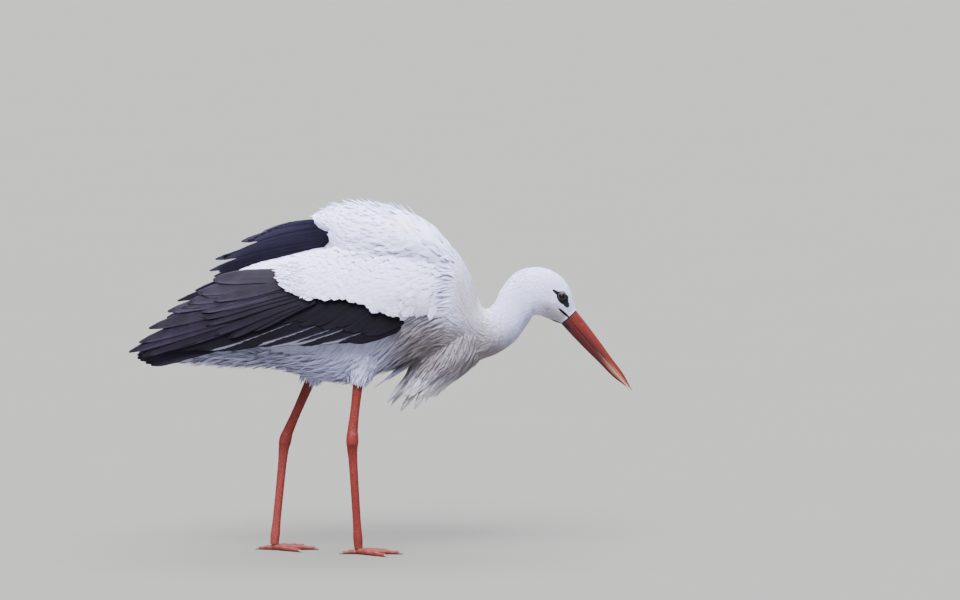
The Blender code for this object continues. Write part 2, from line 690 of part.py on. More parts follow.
def make_tarsus(name, leg):
    """The long lower leg, with the root of the foot at its end."""
    centre, foot = placed(leg, "hock"), placed(leg, "foot")
    way = (foot - centre) / np.linalg.norm(foot - centre)
    start = centre + way * (0.021 + GAP)
    share = np.array((0.0, 0.15, 0.5, 0.82, 0.93, 1.0))
    radii = TARSUS_RADIUS * np.array((1.03, 0.98, 0.95, 1.0, 1.20, 0.98))
    rings = tube_rings(start + (foot - start) * share[:, None], radii, 10, 0.90)
    rings[-1, :, 2] = FOOT_HEIGHT + GAP
    return loft(name, rings, "leg")


def sole_rings(base, way, stations, width, height):
    """Rings of a toe that lies on the floor: flat below, round above."""
    across = np.array((-way[1], way[0], 0.0))
    rings = []
    for s, w, h in zip(stations, width, height):
        p = np.array((base[0], base[1], 0.0)) + way * s
        ring = [p + across * (0.62 * w), p + across * w + (0, 0, 0.38 * h),
                p + across * (0.72 * w) + (0, 0, 0.80 * h), p + np.array((0, 0, h)),
                p - across * (0.72 * w) + (0, 0, 0.80 * h), p - across * w + (0, 0, 0.38 * h),
                p - across * (0.62 * w)]
        rings.append(ring)
    return rings


def toe_way(leg, toe_word):
    """Direction of one toe on the floor."""
    turn = math.radians((leg["toe_turn"] + TOES[toe_word][0]) * leg["side"])
    return np.array((math.cos(turn), math.sin(turn), 0.0))


def make_toe(foot_word, toe_word, leg):
    """One toe with its pads, and its claw."""
    length, claw, girth = TOES[toe_word][1:]
    way, base = toe_way(leg, toe_word), placed(leg, "foot")
    hind = toe_word == "hind"
    pads = 1 if hind else 2
    stations = np.linspace((HIND_ROOT if hind else TOE_ROOT) + GAP, length, 2 * pads + 1)
    swell = 1.0 + 0.08 * np.cos(np.arange(2 * pads + 1) * math.pi)
    width = girth * swell * np.linspace(0.96, 0.70, 2 * pads + 1)
    height = 2 * girth * swell * np.linspace(0.92, 0.62, 2 * pads + 1)
    loft(f"toe_{toe_word}_{foot_word}", sole_rings(base, way, stations, width, height), "leg")
    tip = np.array((0.0, 0.55, 1.0)) * claw + length + GAP
    nail_w = girth * 0.62 * np.array((1.0, 0.80, 0.22))
    nail_h = girth * 1.15 * np.array((1.0, 0.72, 0.18))
    loft(f"claw_{toe_word}_{foot_word}", sole_rings(base, way, tip, nail_w, nail_h), "claw")


def make_foot(word, leg):
    """The root of the foot: short toe stumps with small webs between, one solid.

    Its outline runs round the stump ends and the webs; rings of that outline, drawn
    in towards the top, carry a flat seat for the lower leg.
    """
    base = placed(leg, "foot")[:2]
    order = ("inner", "middle", "outer", "hind")
    outline = []
    for word_a, word_b in zip(order, order[1:] + order[:1]):
        way, girth = toe_way(leg, word_a)[:2], TOES[word_a][3]
        end = HIND_ROOT if word_a == "hind" else TOE_ROOT
        across = np.array((-way[1], way[0])) * leg["side"]
        outline += [base + way * end - across * girth, base + way * end + across * girth]
        if "hind" in (word_a, word_b):
            middle = toe_way(leg, word_a)[:2] * 0.6 + toe_way(leg, word_b)[:2] * 0.4
            outline.append(base + middle / np.linalg.norm(middle) * FOOT_WAIST)
        else:
            middle = way + toe_way(leg, word_b)[:2]
            outline.append(base + middle / np.linalg.norm(middle) * WEB_REACH)
    outline = np.array(outline)
    rings = [np.column_stack([base + (outline - base) * share, np.full(len(outline), z)])
             for share, z in FOOT_PROFILE]
    return loft("foot_" + word, rings, "leg")


def make_leg(word, leg):
    """Thigh to claws of one leg, each parted from the next."""
    thigh = make_thigh("thigh_" + word, leg)
    shin = make_shin("shin_" + word, leg)
    make_hock("hock_" + word, leg)
    make_tarsus("tarsus_" + word, leg)
    make_foot(word, leg)
    for toe_word in TOES:
        make_toe(word, toe_word, leg)
    return thigh, shin


# ---------------------------------------------------------------- assembly
def centre_on_floor():
    """Moves every mesh so the model's box is centred over the origin, soles at 0."""
    low = np.full(3, 1e9)
    high = -low
    for obj in PARTS.objects:
        points = np.array([v.co[:] for v in obj.data.vertices])
        low = np.minimum(low, points.min(axis=0))
        high = np.maximum(high, points.max(axis=0))
    shift = np.array((-(low[0] + high[0]) / 2, -(low[1] + high[1]) / 2, -low[2]))
    for group in (PARTS, CUTTERS):
        for obj in group.objects:
            for vert in obj.data.vertices:
                vert.co += Vector(shift)
    return shift


def build():
    """Every part of the bird."""
    trunk = body_length("trunk", TRUNK_SPAN, 9)
    lower_neck = body_length("neck_lower", LOWER_NECK_SPAN, 6)
    body_length("neck_upper", UPPER_NECK_SPAN, 4)
    head = body_length("head", HEAD_SPAN, 8)
    eyes = [make_eye("eye_right", -1), make_eye("eye_left", 1)]
    bill_half("bill_upper", True)
    bill_half("bill_lower", False)
    cut(head, eyes)

    mantle, ruff, vent, tail = make_mantle(), make_ruff(), make_vent(), make_tail()
    right = make_wing("right", -1)
    left = make_wing("left", 1)
    right_thigh, right_shin = make_leg("right", RIGHT_LEG)
    left_thigh, left_shin = make_leg("left", LEFT_LEG)
    cut(right_thigh, [right_shin])
    cut(left_thigh, [left_shin])

    for wing in (right, left):
        coverts, tertials, secondaries, primaries = wing
        cut(coverts, [mantle])
        cut(tertials, [mantle, coverts])
        cut(secondaries, [coverts, tertials])
        cut(primaries, [tertials, secondaries])
    cut(vent, [tail, right_thigh, left_thigh])
    cut(ruff, [mantle, right[0], left[0]])
    cut(lower_neck, [ruff, mantle])
    cut(trunk, [mantle, ruff, vent, tail, right[0], left[0], right_thigh, left_thigh])
    centre_on_floor()


build()
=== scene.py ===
"""White stork, life size: skin, plumage, bill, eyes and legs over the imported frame.

Metres, +Z up. The bird faces +X and its left side is +Y.
"""
import functools
import math

import bpy
import numpy as np
from bpy.props import FloatProperty, FloatVectorProperty, IntProperty, PointerProperty
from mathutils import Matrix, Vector


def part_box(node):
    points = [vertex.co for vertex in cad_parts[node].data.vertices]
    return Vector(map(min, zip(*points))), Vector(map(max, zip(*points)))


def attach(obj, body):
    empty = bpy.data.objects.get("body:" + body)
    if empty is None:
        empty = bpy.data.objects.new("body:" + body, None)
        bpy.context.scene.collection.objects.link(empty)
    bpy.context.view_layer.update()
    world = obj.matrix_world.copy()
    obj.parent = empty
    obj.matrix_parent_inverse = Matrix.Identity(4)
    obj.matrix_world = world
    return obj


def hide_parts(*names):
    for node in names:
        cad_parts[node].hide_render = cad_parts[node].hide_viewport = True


bl_info = {
    "name": "White Stork",
    "version": (1, 0, 0),
    "blender": (4, 5, 0),
    "location": "3D View > Sidebar > Stork",
    "description": "Builds the plumage, skin, bill, eyes and legs of a life-size white stork",
    "category": "Object",
}

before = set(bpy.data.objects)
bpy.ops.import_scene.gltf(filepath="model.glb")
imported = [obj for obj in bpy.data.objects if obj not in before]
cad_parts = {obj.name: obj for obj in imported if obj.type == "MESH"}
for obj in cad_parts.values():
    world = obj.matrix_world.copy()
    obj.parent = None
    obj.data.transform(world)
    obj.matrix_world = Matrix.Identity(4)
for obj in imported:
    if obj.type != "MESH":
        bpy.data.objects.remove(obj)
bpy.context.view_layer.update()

# ---------------------------------------------------------------- body forms
# Sections from tail root to bill base: top x, top z, bottom x, bottom z, half width.
BODY = (
    (-0.300, 0.432, -0.292, 0.372, 0.011), (-0.266, 0.468, -0.262, 0.350, 0.023),
    (-0.222, 0.490, -0.228, 0.335, 0.040), (-0.157, 0.507, -0.166, 0.318, 0.056),
    (-0.089, 0.524, -0.098, 0.301, 0.065), (-0.021, 0.541, -0.052, 0.297, 0.073),
    (0.038, 0.549, 0.004, 0.316, 0.075), (0.084, 0.541, 0.055, 0.331, 0.071),
    (0.123, 0.517, 0.098, 0.336, 0.061), (0.149, 0.474, 0.128, 0.334, 0.049),
    (0.164, 0.431, 0.152, 0.331, 0.040), (0.176, 0.416, 0.178, 0.335, 0.034),
    (0.190, 0.426, 0.203, 0.346, 0.032), (0.203, 0.451, 0.227, 0.364, 0.031),
    (0.225, 0.477, 0.246, 0.390, 0.0295), (0.254, 0.488, 0.258, 0.405, 0.0280),
    (0.281, 0.485, 0.270, 0.404, 0.0265), (0.305, 0.471, 0.284, 0.398, 0.0240),
    (0.320, 0.448, 0.295, 0.393, 0.0195), (0.3295, 0.415, 0.3025, 0.3915, 0.0140),
)
ROWS = len(BODY) - 1.0
TURN = 2 * math.pi
BODY_POWER = 2.15           # squareness of the body's sections
BODY_SIDES = 144            # points round one section of its skin
WIDEST_AT = 0.44            # share of a section's height that lies below its widest line
NECK_ROW, HEAD_ROW = 8.6, 14.8      # where neck and head begin
# Depth of the skin under the outline: rows of the body, then depths there.
SKIN_DEPTH = ((0, 8, 11, 14.0, 15.5, 18.2, 19),
              (0.0034, 0.0034, 0.0028, 0.0020, 0.0012, 0.0008, 0.0002))

# Bill in side view: base from crown to chin, and the tips of its two halves.
BILL_BASE_TOP, BILL_BASE_MID = (0.3290, 0.4137), (0.3152, 0.4018)
BILL_BASE_LOW = (0.3036, 0.3916)
BILL_TIP, BILL_TIP_LOW = (0.4255, 0.2750), (0.4190, 0.2810)
BILL_HALF_WIDTH = 0.0122
BILL_OPENING = 0.0005

EYE_CENTRE = (0.3050, 0.0172, 0.4405)
EYE_RADIUS = 0.0080
LID_SIDES, LID_EDGE = 72, 20    # points round an eyelid and round its section

# Hump of mantle and shoulder feathers: x, crown z, half width, floor z.
MANTLE = (
    (-0.108, 0.580, 0.030, 0.565), (-0.091, 0.588, 0.042, 0.546), (-0.066, 0.594, 0.056, 0.516),
    (-0.030, 0.597, 0.063, 0.506), (0.010, 0.591, 0.066, 0.506), (0.050, 0.580, 0.066, 0.506),
    (0.085, 0.560, 0.058, 0.506), (0.110, 0.534, 0.044, 0.500), (0.130, 0.508, 0.022, 0.484),
)
MANTLE_FLOOR = 0.506        # where its sides end
# Rear edge of the hump's feathers: x above and below a height.
REAR_EDGE = {"height": 0.569, "above": -0.119, "below": -0.090}
# Slope under the hump's rear, down to the back: the same columns, from the back upwards.
SLOPE = (
    (-0.165, 0.506, 0.050, 0.470), (-0.130, 0.512, 0.055, 0.472), (-0.102, 0.519, 0.057, 0.474),
    (-0.088, 0.534, 0.055, 0.478), (-0.080, 0.556, 0.050, 0.486), (-0.068, 0.580, 0.044, 0.500),
)

# Ruff from the breast down to the tips: rear x, z, front x, z, half width.
RUFF = (
    (0.086, 0.400, 0.177, 0.379, 0.044), (0.064, 0.362, 0.169, 0.338, 0.049),
    (0.050, 0.330, 0.145, 0.311, 0.046), (0.040, 0.305, 0.114, 0.289, 0.037),
    (0.028, 0.283, 0.088, 0.268, 0.026), (0.020, 0.268, 0.064, 0.257, 0.015),
)
# Long separate plumes of the ruff: root x, y, z, tip x, y, z.
PLUMES = (
    (0.062, 0.004, 0.286, 0.030, 0.002, 0.240), (0.078, -0.008, 0.290, 0.055, -0.009, 0.247),
    (0.044, -0.010, 0.300, 0.009, -0.008, 0.258), (0.050, 0.012, 0.300, 0.016, 0.012, 0.252),
    (0.095, 0.010, 0.300, 0.075, 0.008, 0.261), (0.118, -0.014, 0.316, 0.098, -0.012, 0.277),
    (0.140, 0.006, 0.330, 0.122, 0.006, 0.296), (0.070, -0.022, 0.346, -0.006, -0.024, 0.290),
    (0.070, 0.022, 0.346, 0.002, 0.024, 0.292),
)
# Under-tail coverts: top x, z, bottom x, z, half width.
VENT = (
    (-0.150, 0.345, -0.150, 0.322, 0.030), (-0.200, 0.362, -0.200, 0.323, 0.038),
    (-0.250, 0.366, -0.250, 0.324, 0.036), (-0.300, 0.352, -0.300, 0.328, 0.028),
    (-0.340, 0.340, -0.340, 0.331, 0.014),
)
# Face of the folded wing: x, half width of the bird, height of the widest line, half height.
WING_FORM = (
    (-0.440, 0.026, 0.352, 0.060), (-0.380, 0.036, 0.368, 0.068), (-0.300, 0.055, 0.390, 0.082),
    (-0.220, 0.074, 0.410, 0.104), (-0.140, 0.086, 0.420, 0.118), (-0.050, 0.091, 0.422, 0.128),
    (0.030, 0.086, 0.424, 0.128), (0.090, 0.069, 0.436, 0.112), (0.120, 0.054, 0.446, 0.100),
)
WING_TUCK = 0.16            # how far the face turns in below its widest line
LEFT_WING_LIFT = 0.034      # how much higher the left wing is carried
ARM_THICKNESS = 0.009       # of the folded arm under a white panel
LINING_DEPTH = 0.0145       # how far the feathers of its inner side lie behind its face

# Feather groups of the wings in side view, (x, z) from the front or top onwards: the
# white panel's upper and lower edge, then roots and tips of the black feathers.
RIGHT_WING = {
    "word": "right", "side": -1.0,
    "panel_top": ((0.104, 0.482), (0.070, 0.508), (0.030, 0.524), (-0.070, 0.525),
                  (-0.126, 0.514), (-0.166, 0.503)),
    "panel_low": ((0.104, 0.462), (0.070, 0.426), (0.026, 0.399), (-0.052, 0.432),
                  (-0.112, 0.441), (-0.158, 0.462)),
    "tertial_root": ((-0.136, 0.478), (-0.124, 0.463), (-0.108, 0.446)),
    "tertial_tip": ((-0.284, 0.459), (-0.318, 0.440), (-0.352, 0.421), (-0.394, 0.396),
                    (-0.432, 0.352), (-0.384, 0.338)),
    "secondary_root": ((-0.120, 0.462), (-0.060, 0.446), (0.000, 0.432), (0.034, 0.404)),
    "secondary_tip": ((-0.366, 0.346), (-0.290, 0.354), (-0.190, 0.362), (-0.066, 0.372)),
    "covert_root": ((-0.100, 0.466), (-0.050, 0.450), (0.000, 0.436), (0.036, 0.412)),
    "covert_tip": ((-0.216, 0.404), (-0.140, 0.398), (-0.068, 0.390), (-0.022, 0.381)),
}
LEFT_WING = {
    "word": "left", "side": 1.0,
    "panel_top": ((0.104, 0.482), (0.070, 0.508), (0.030, 0.520), (-0.040, 0.520),
                  (-0.085, 0.508), (-0.112, 0.500)),
    "panel_low": ((0.104, 0.462), (0.070, 0.426), (0.026, 0.399), (-0.052, 0.432),
                  (-0.104, 0.446), (-0.128, 0.470)),
    "tertial_root": ((-0.070, 0.555), (-0.052, 0.544), (-0.050, 0.528), (-0.056, 0.506),
                     (-0.070, 0.490), (-0.090, 0.476)),
    "tertial_tip": ((-0.212, 0.538), (-0.252, 0.514), (-0.282, 0.494), (-0.300, 0.466),
                    (-0.352, 0.428), (-0.372, 0.392)),
    "secondary_root": ((-0.120, 0.492), (-0.060, 0.476), (0.000, 0.462), (0.034, 0.436)),
    "secondary_tip": ((-0.404, 0.356), (-0.310, 0.366), (-0.190, 0.378), (-0.066, 0.392)),
    "covert_root": ((-0.090, 0.496), (-0.040, 0.480), (0.000, 0.466), (0.036, 0.442)),
    "covert_tip": ((-0.216, 0.424), (-0.140, 0.420), (-0.068, 0.412), (-0.022, 0.402)),
}
TERTIAL_SHORT_TIP = ((-0.236, 0.455), (-0.262, 0.441), (-0.290, 0.428), (-0.312, 0.402),
                     (-0.296, 0.376), (-0.232, 0.384))
PRIMARY_ROOT = ((-0.262, 0.386), (-0.262, 0.362))
PRIMARY_TIP = ((-0.414, 0.340), (-0.419, 0.330), (-0.392, 0.322))
SECONDARIES = 15
SILVER_VANES = (4, 7, 9, 10, 12)    # secondaries with a pale outer web
# painted light: the inner faces of the far tertials, so marked, are painted lighter as if lit
INNER_FACE = 3.0                    # "chance" that marks the inner faces of far tertials

TAIL_ROOT, TAIL_TIP = (-0.222, 0.424), (-0.372, 0.338)
TAIL_HALF_WIDTH = 0.021

# Legs: thigh top, thigh end, hock and foot, +Y taken outwards on each side.
RIGHT_LEG = {"word": "right", "side": -1.0, "turn": 4.0, "thigh_top": (-0.026, 0.036, 0.360),
             "thigh_end": (-0.041, 0.039, 0.294), "hock": (-0.052, 0.041, 0.198),
             "foot": (-0.041, 0.029, 0.013)}
LEFT_LEG = {"word": "left", "side": 1.0, "turn": 0.0, "thigh_top": (-0.106, 0.036, 0.358),
            "thigh_end": (-0.124, 0.044, 0.288), "hock": (-0.168, 0.056, 0.187),
            "foot": (-0.185, 0.024, 0.013)}
LEGS = (RIGHT_LEG, LEFT_LEG)
THIGH_RADII = (0.034, 0.033, 0.024, 0.0115)
# Radius of the bare leg from inside the thigh, over the hock, to the foot.
LEG_GIRTH = (0.0096, 0.0086, 0.0077, 0.0090, 0.0112, 0.0116, 0.0091, 0.0074, 0.0069,
             0.0079, 0.0070)
# Toes: angle outwards, length without claw, claw length, girth.
TOES = {"inner": (-35.0, 0.052, 0.0085, 0.0050), "middle": (0.0, 0.068, 0.0095, 0.0054),
        "outer": (35.0, 0.058, 0.0085, 0.0050), "hind": (172.0, 0.026, 0.0080, 0.0044)}
CLAW_INSET = 0.0018         # how far a claw starts inside its toe
TOE_SCALE = 0.0034          # length of one scale on a toe
WEB_REACH, WEB_DIP = 0.026, 0.0085      # length of the web, and how much less it is midway

# From the tables' own axes to the frame's, by the right eye.
SHIFT = np.mean(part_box("eye_right"), axis=0) - np.array(EYE_CENTRE) * (1.0, -1.0, 1.0)


# ---------------------------------------------------------------- settings
def size_property(name, words, default):
    """A length that a user may change."""
    return FloatProperty(name=name, description=words, default=default, min=0.0,
                         subtype="DISTANCE", unit="LENGTH", precision=4)


def colour_property(name, words, default):
    """A colour that a user may change."""
    return FloatVectorProperty(name=name, description=words, default=default, size=3,
                               min=0.0, max=1.0, subtype="COLOR")


class StorkSizes(bpy.types.PropertyGroup):
    """Sizes of the plumage and of the detail on bare parts."""
    back_length: size_property("Back feather", "Length of a feather on back and belly", 0.027)
    back_width: size_property("Back feather width", "Width of a feather on back and belly", 0.0095)
    mantle_length: size_property("Mantle feather", "Length of a mantle feather", 0.040)
    mantle_width: size_property("Mantle feather width", "Width of a mantle feather", 0.0125)
    covert_length: size_property("Wing covert", "Length of a white wing covert", 0.030)
    covert_width: size_property("Wing covert width", "Width of a white wing covert", 0.0155)
    neck_length: size_property("Neck feather", "Length of a feather on the neck", 0.0190)
    neck_width: size_property("Neck feather width", "Width of a feather on the neck", 0.0040)
    head_length: size_property("Head feather", "Length of a feather on the head", 0.0062)
    head_width: size_property("Head feather width", "Width of a feather on the head", 0.0019)
    plume_length: size_property("Ruff plume", "Length of a plume of the ruff", 0.052)
    plume_width: size_property("Ruff plume width", "Width of a plume of the ruff", 0.0058)
    barb_thickness: size_property("Feather thickness", "Half thickness of a small feather", 0.0003)
    vane_thickness: size_property("Flight feather thickness",
                                  "Thickness of a flight feather", 0.0007)
    seed: IntProperty(name="Seed", description="Start of every irregular spread", default=7, min=0)


class StorkColours(bpy.types.PropertyGroup):
    """Colours of the plumage and the bare parts."""
    white: colour_property("White", "White plumage", (0.66, 0.665, 0.96))
    # painted shade at the feather roots, where the feathers over them shade them
    down: colour_property("Down", "Shaded roots of the white feathers", (0.43, 0.43, 0.66))
    blush: colour_property("Blush", "Warm tint in the partings of the mantle", (0.62, 0.40, 0.40))
    shade: colour_property("Shade", "Shaded roots on belly and thighs", (0.27, 0.27, 0.39))
    # painted shade under the tail, darkest at the feather roots
    undertail_shade: colour_property("Soot", "Grey under the tail", (0.095, 0.088, 0.105))
    cream: colour_property("Cream", "Ruff and breast", (0.37, 0.325, 0.325))
    # painted shade between the ruff's plumes and over its middle band
    ruff_shade: colour_property("Streak", "Shaded streaks of the ruff", (0.155, 0.128, 0.128))
    # painted light on the lowest ends of the ruff's plumes
    plume_tip_light: colour_property("Bleached", "Pale ends of the ruff's plumes", (0.92, 0.90, 0.97))
    black: colour_property("Black", "Flight feathers", (0.0028, 0.0022, 0.0056))
    # painted sheen and light on the flight feathers' edges, partly real wear
    edge_wear_and_sheen: colour_property("Bloom", "Worn edges of the flight feathers", (0.040, 0.028, 0.058))
    # painted light on the inner faces of the far tertials, which lie in shade
    inner: colour_property("Inner faces", "Lit faces of the far tertials", (0.082, 0.072, 0.108))
    silver: colour_property("Silver", "Pale webs of some flight feathers", (0.20, 0.20, 0.28))
    bare: colour_property("Eye skin", "Bare black skin of the face", (0.0045, 0.0045, 0.0065))
    iris: colour_property("Iris", "Ring of the eye", (0.016, 0.009, 0.006))
    bill: colour_property("Bill", "Upper half of the bill", (0.108, 0.0120, 0.0105))
    # painted shade on the lower half of the bill
    bill_lower_shade: colour_property("Bill, dark", "Lower half of the bill", (0.075, 0.0065, 0.0085))
    leg: colour_property("Leg", "Bare skin of the legs", (0.215, 0.024, 0.020))
    leg_dark: colour_property("Leg, dark", "Furrows between the leg scales", (0.115, 0.010, 0.009))
    claw: colour_property("Claw", "Claws", (0.075, 0.045, 0.032))


class StorkStage(bpy.types.PropertyGroup):
    """Floor, light and camera."""
    floor: colour_property("Floor", "Colour of the floor", (0.125, 0.123, 0.112))
    azimuth: FloatProperty(name="Azimuth", description="Turn of the camera round the bird",
                           default=0.0, subtype="ANGLE", unit="ROTATION")
    elevation: FloatProperty(name="Elevation", description="Camera angle above level",
                             default=math.radians(6.0), subtype="ANGLE", unit="ROTATION")
    distance: size_property("Distance", "Camera distance", 13.6)
    lens: FloatProperty(name="Lens", description="Focal length in millimetres", default=300.0)
    target: FloatVectorProperty(name="Target", description="Point the camera looks at",
                                default=(0.1669, 0.0, 0.4316), subtype="TRANSLATION",
                                unit="LENGTH")


# ---------------------------------------------------------------- curves and surfaces
STRAY = 0.28                # how far a feather's root strays from its place, in spacings


def smooth_rows(rows, at):
    """Rows of a table at row positions `at`: a Catmull-Rom curve, straight past its ends."""
    rows, at = np.asarray(rows, float), np.asarray(at, float)
    held = np.clip(at, 0.0, len(rows) - 1.0)
    low = np.minimum(held.astype(int), len(rows) - 2)
    t = (held - low)[..., None]
    padded = np.vstack([2 * rows[:1] - rows[1:2], rows, 2 * rows[-1:] - rows[-2:-1]])
    before, start, end, after = (padded[low + k] for k in range(4))
    slope_a, slope_b = (end - before) / 2, (after - start) / 2
    curve = ((2 * t ** 3 - 3 * t ** 2 + 1) * start + (t ** 3 - 2 * t ** 2 + t) * slope_a
             + (3 * t ** 2 - 2 * t ** 3) * end + (t ** 3 - t ** 2) * slope_b)
    past = (at - held)[..., None]
    return curve + past * np.where(past < 0, rows[1] - rows[0], rows[-1] - rows[-2])


def along(points, share):
    """Points at shares 0 to 1 of a smooth curve through `points`."""
    return smooth_rows(points, np.asarray(share, float) * (len(points) - 1))


def ease(value, low, high):
    """0 below low, 1 above high, and 3t^2 - 2t^3 between them."""
    t = np.clip((np.asarray(value, float) - low) / (high - low), 0.0, 1.0)
    return t * t * (3 - 2 * t)


def unit(vectors):
    """Vectors scaled to length 1."""
    return vectors / np.maximum(np.linalg.norm(vectors, axis=-1, keepdims=True), 1e-12)


def round_angles(count):
    """Angles that divide one full turn evenly, the last one short of it."""
    return np.arange(count) / count * TURN


def egg(rows, power=2.0):
    """Surface through upright egg-shaped sections, as point(u, v).

    u runs along the rows. With angle = 2 pi v, y = half width * cos(angle) raised to
    2 / power, and the height share is 0.44 + 0.56 sin(angle) above the widest line and
    0.44 (1 + sin(angle)) below it, between the bottom and the top point.
    """
    def surface(u, v):
        row = smooth_rows(rows, u * (len(rows) - 1.0))
        angle = v * TURN
        flat, rise = np.cos(angle), np.sin(angle)
        side = np.sign(flat) * np.abs(flat) ** (2 / power)
        share = np.where(rise > 0, WIDEST_AT + (1 - WIDEST_AT) * rise, WIDEST_AT * (1 + rise))
        return np.stack([row[..., 2] + (row[..., 0] - row[..., 2]) * share,
                         np.maximum(row[..., 4], 0.003) * side,
                         row[..., 3] + (row[..., 1] - row[..., 3]) * share], axis=-1)
    return surface


def arch(rows):
    """Surface through upright arches, as point(u, v), u along rows of x, crown, half, floor.

    With angle = pi v, y = half width * cos(angle) and z = floor + rise * sin(angle)^0.8.
    """
    def surface(u, v):
        x, crown, half, floor = np.moveaxis(smooth_rows(rows, u * (len(rows) - 1.0)), -1, 0)
        angle = v * math.pi
        lift = np.clip(np.sin(angle), 0.0, 1.0) ** 0.8
        sunk = np.minimum(np.sin(angle), 0.0)
        return np.stack([x + 0 * v, np.maximum(half, 0.008) * np.cos(angle),
                         floor + (crown - floor) * lift + 0.02 * sunk], axis=-1)
    return surface


def limb(path, radii, flatten):
    """Surface round a path, as point(u, v): path(u) + r(u) * (flatten cos * side + sin * fore)."""
    path = np.asarray(path, float)
    way = unit(path[-1] - path[0])
    side = unit(np.cross(way, (1.0, 0.0, 0.0)))
    fore = np.cross(side, way)

    def surface(u, v):
        middle = along(path, u)
        reach = np.maximum(along([(r,) for r in radii], u), 0.002)
        angle = (v * TURN)[..., None]
        return middle + reach * (flatten * np.cos(angle) * side + np.sin(angle) * fore)
    return surface


def wing_face(x, z):
    """Distance of the folded wing's outer face from the bird's middle plane.

    Half width * square root of 1 - (height above the widest line / half height)
    squared; below that line it turns in slightly.
    """
    form = np.array(WING_FORM)
    place = np.interp(x, form[:, 0], np.arange(len(form)))
    half, middle, reach = np.moveaxis(smooth_rows(form[:, 1:], place), -1, 0)
    rise = (z - middle) / reach
    above = np.sqrt(1 - np.clip(rise, 0, 0.975) ** 2)
    below = 1 - WING_TUCK * np.clip(-rise, 0, 2) ** 2
    return half * np.where(rise > 0, above, below)


def wing_rise(side, x):
    """How much higher than the right wing the wing on this side is carried at x."""
    return (LEFT_WING_LIFT if side > 0 else 0.0) * ease(x, -0.40, -0.10)


def panel(side, top_line, low_line, full=False):
    """White covert panel, as point(u, v): u from front to rear, v from top to lower edge.

    (x, z) runs straight from the top line to the lower line, and y is the wing's face
    plus a swell: on the `full` panel, which feathers lie on, 4.5 mm eased in from the
    front, otherwise 6 mm falling to 3 mm * sin(pi v)^0.5 * sin(pi u)^0.4.
    """
    def surface(u, v):
        top, low = along(top_line, u), along(low_line, u)
        x, z = np.moveaxis(top + (low - top) * np.asarray(v)[..., None], -1, 0)
        crown = np.sin(np.clip(v, 0.03, 0.97) * math.pi) ** 0.5
        ends = np.sin(np.clip(u + 0.05, 0.05, 0.96) * math.pi) ** 0.4
        swell = (0.0045 * ease(u, -0.02, 0.22) if full
                 else (0.006 - 0.003 * np.clip(u, 0, 1)) * crown * ends)
        return np.stack([x, side * (wing_face(x, z) + swell), z + wing_rise(side, x)], axis=-1)
    return surface


def around(surface, turn, u, v):
    """Point, slopes along u and v, and outward normal (turn gives its sign)."""
    e = 1e-3
    slope_u = (surface(u + e, v) - surface(u - e, v)) / (2 * e)
    slope_v = (surface(u, v + e) - surface(u, v - e)) / (2 * e)
    return surface(u, v), slope_u, slope_v, unit(np.cross(slope_v, slope_u)) * turn


def even(gap):
    """A spacing that is the same everywhere, as a function of u."""
    return lambda u: np.full_like(np.asarray(u, float), gap)


def rooted(surface, gap_u, gap_v, rng, u_span=(0.0, 1.0), v_span=(0.0, 1.0)):
    """Staggered root places (u, v), spaced gap_u and gap_v metres apart by arc length.

    A gap is a number or a function of u. Rows stand where the running sum of step / gap
    passes whole numbers; each row is filled the same way round the body.
    """
    gap_u, gap_v = (gap if callable(gap) else even(gap) for gap in (gap_u, gap_v))
    u = np.linspace(*u_span, 300)
    v = np.linspace(*v_span, 25)
    grid = surface(u[:, None] + 0 * v, v[None, :] + 0 * u[:, None])
    step = np.linalg.norm(np.diff(grid, axis=0), axis=2).max(axis=1)
    count = np.concatenate([[0], np.cumsum(step / gap_u((u[1:] + u[:-1]) / 2))])
    rows = np.interp(np.arange(0.5, count[-1], 1.0), count, u)
    fine = np.linspace(*v_span, 161)
    found = []
    for k, row in enumerate(rows):
        ring = surface(np.full_like(fine, row), fine)
        run = np.concatenate([[0], np.cumsum(np.linalg.norm(np.diff(ring, axis=0), axis=1))])
        total = max(int(run[-1] / gap_v(row)), 1)
        at = np.arange(total) + 0.25 + 0.5 * (k % 2) + rng.uniform(-STRAY, STRAY, total)
        place = np.interp(at / total * run[-1], run, fine)
        drift = rng.uniform(-STRAY, STRAY, total) * (rows[1] - rows[0] if len(rows) > 1 else 0)
        found.append(np.stack([np.full(total, row) + drift, place], axis=1))
    return np.vstack(found).T


# ---------------------------------------------------------------- meshes
def outward(points, quads, tris):
    """The faces, turned round if the closed surface's signed volume is negative."""
    corners = np.vstack([quads[:, [0, 1, 2]], quads[:, [0, 2, 3]], tris])
    a, b, c = (points[corners[:, k]] for k in range(3))
    if np.einsum("ij,ij->", a, np.cross(b, c)) < 0:
        return quads[:, ::-1], tris[:, ::-1]
    return quads, tris


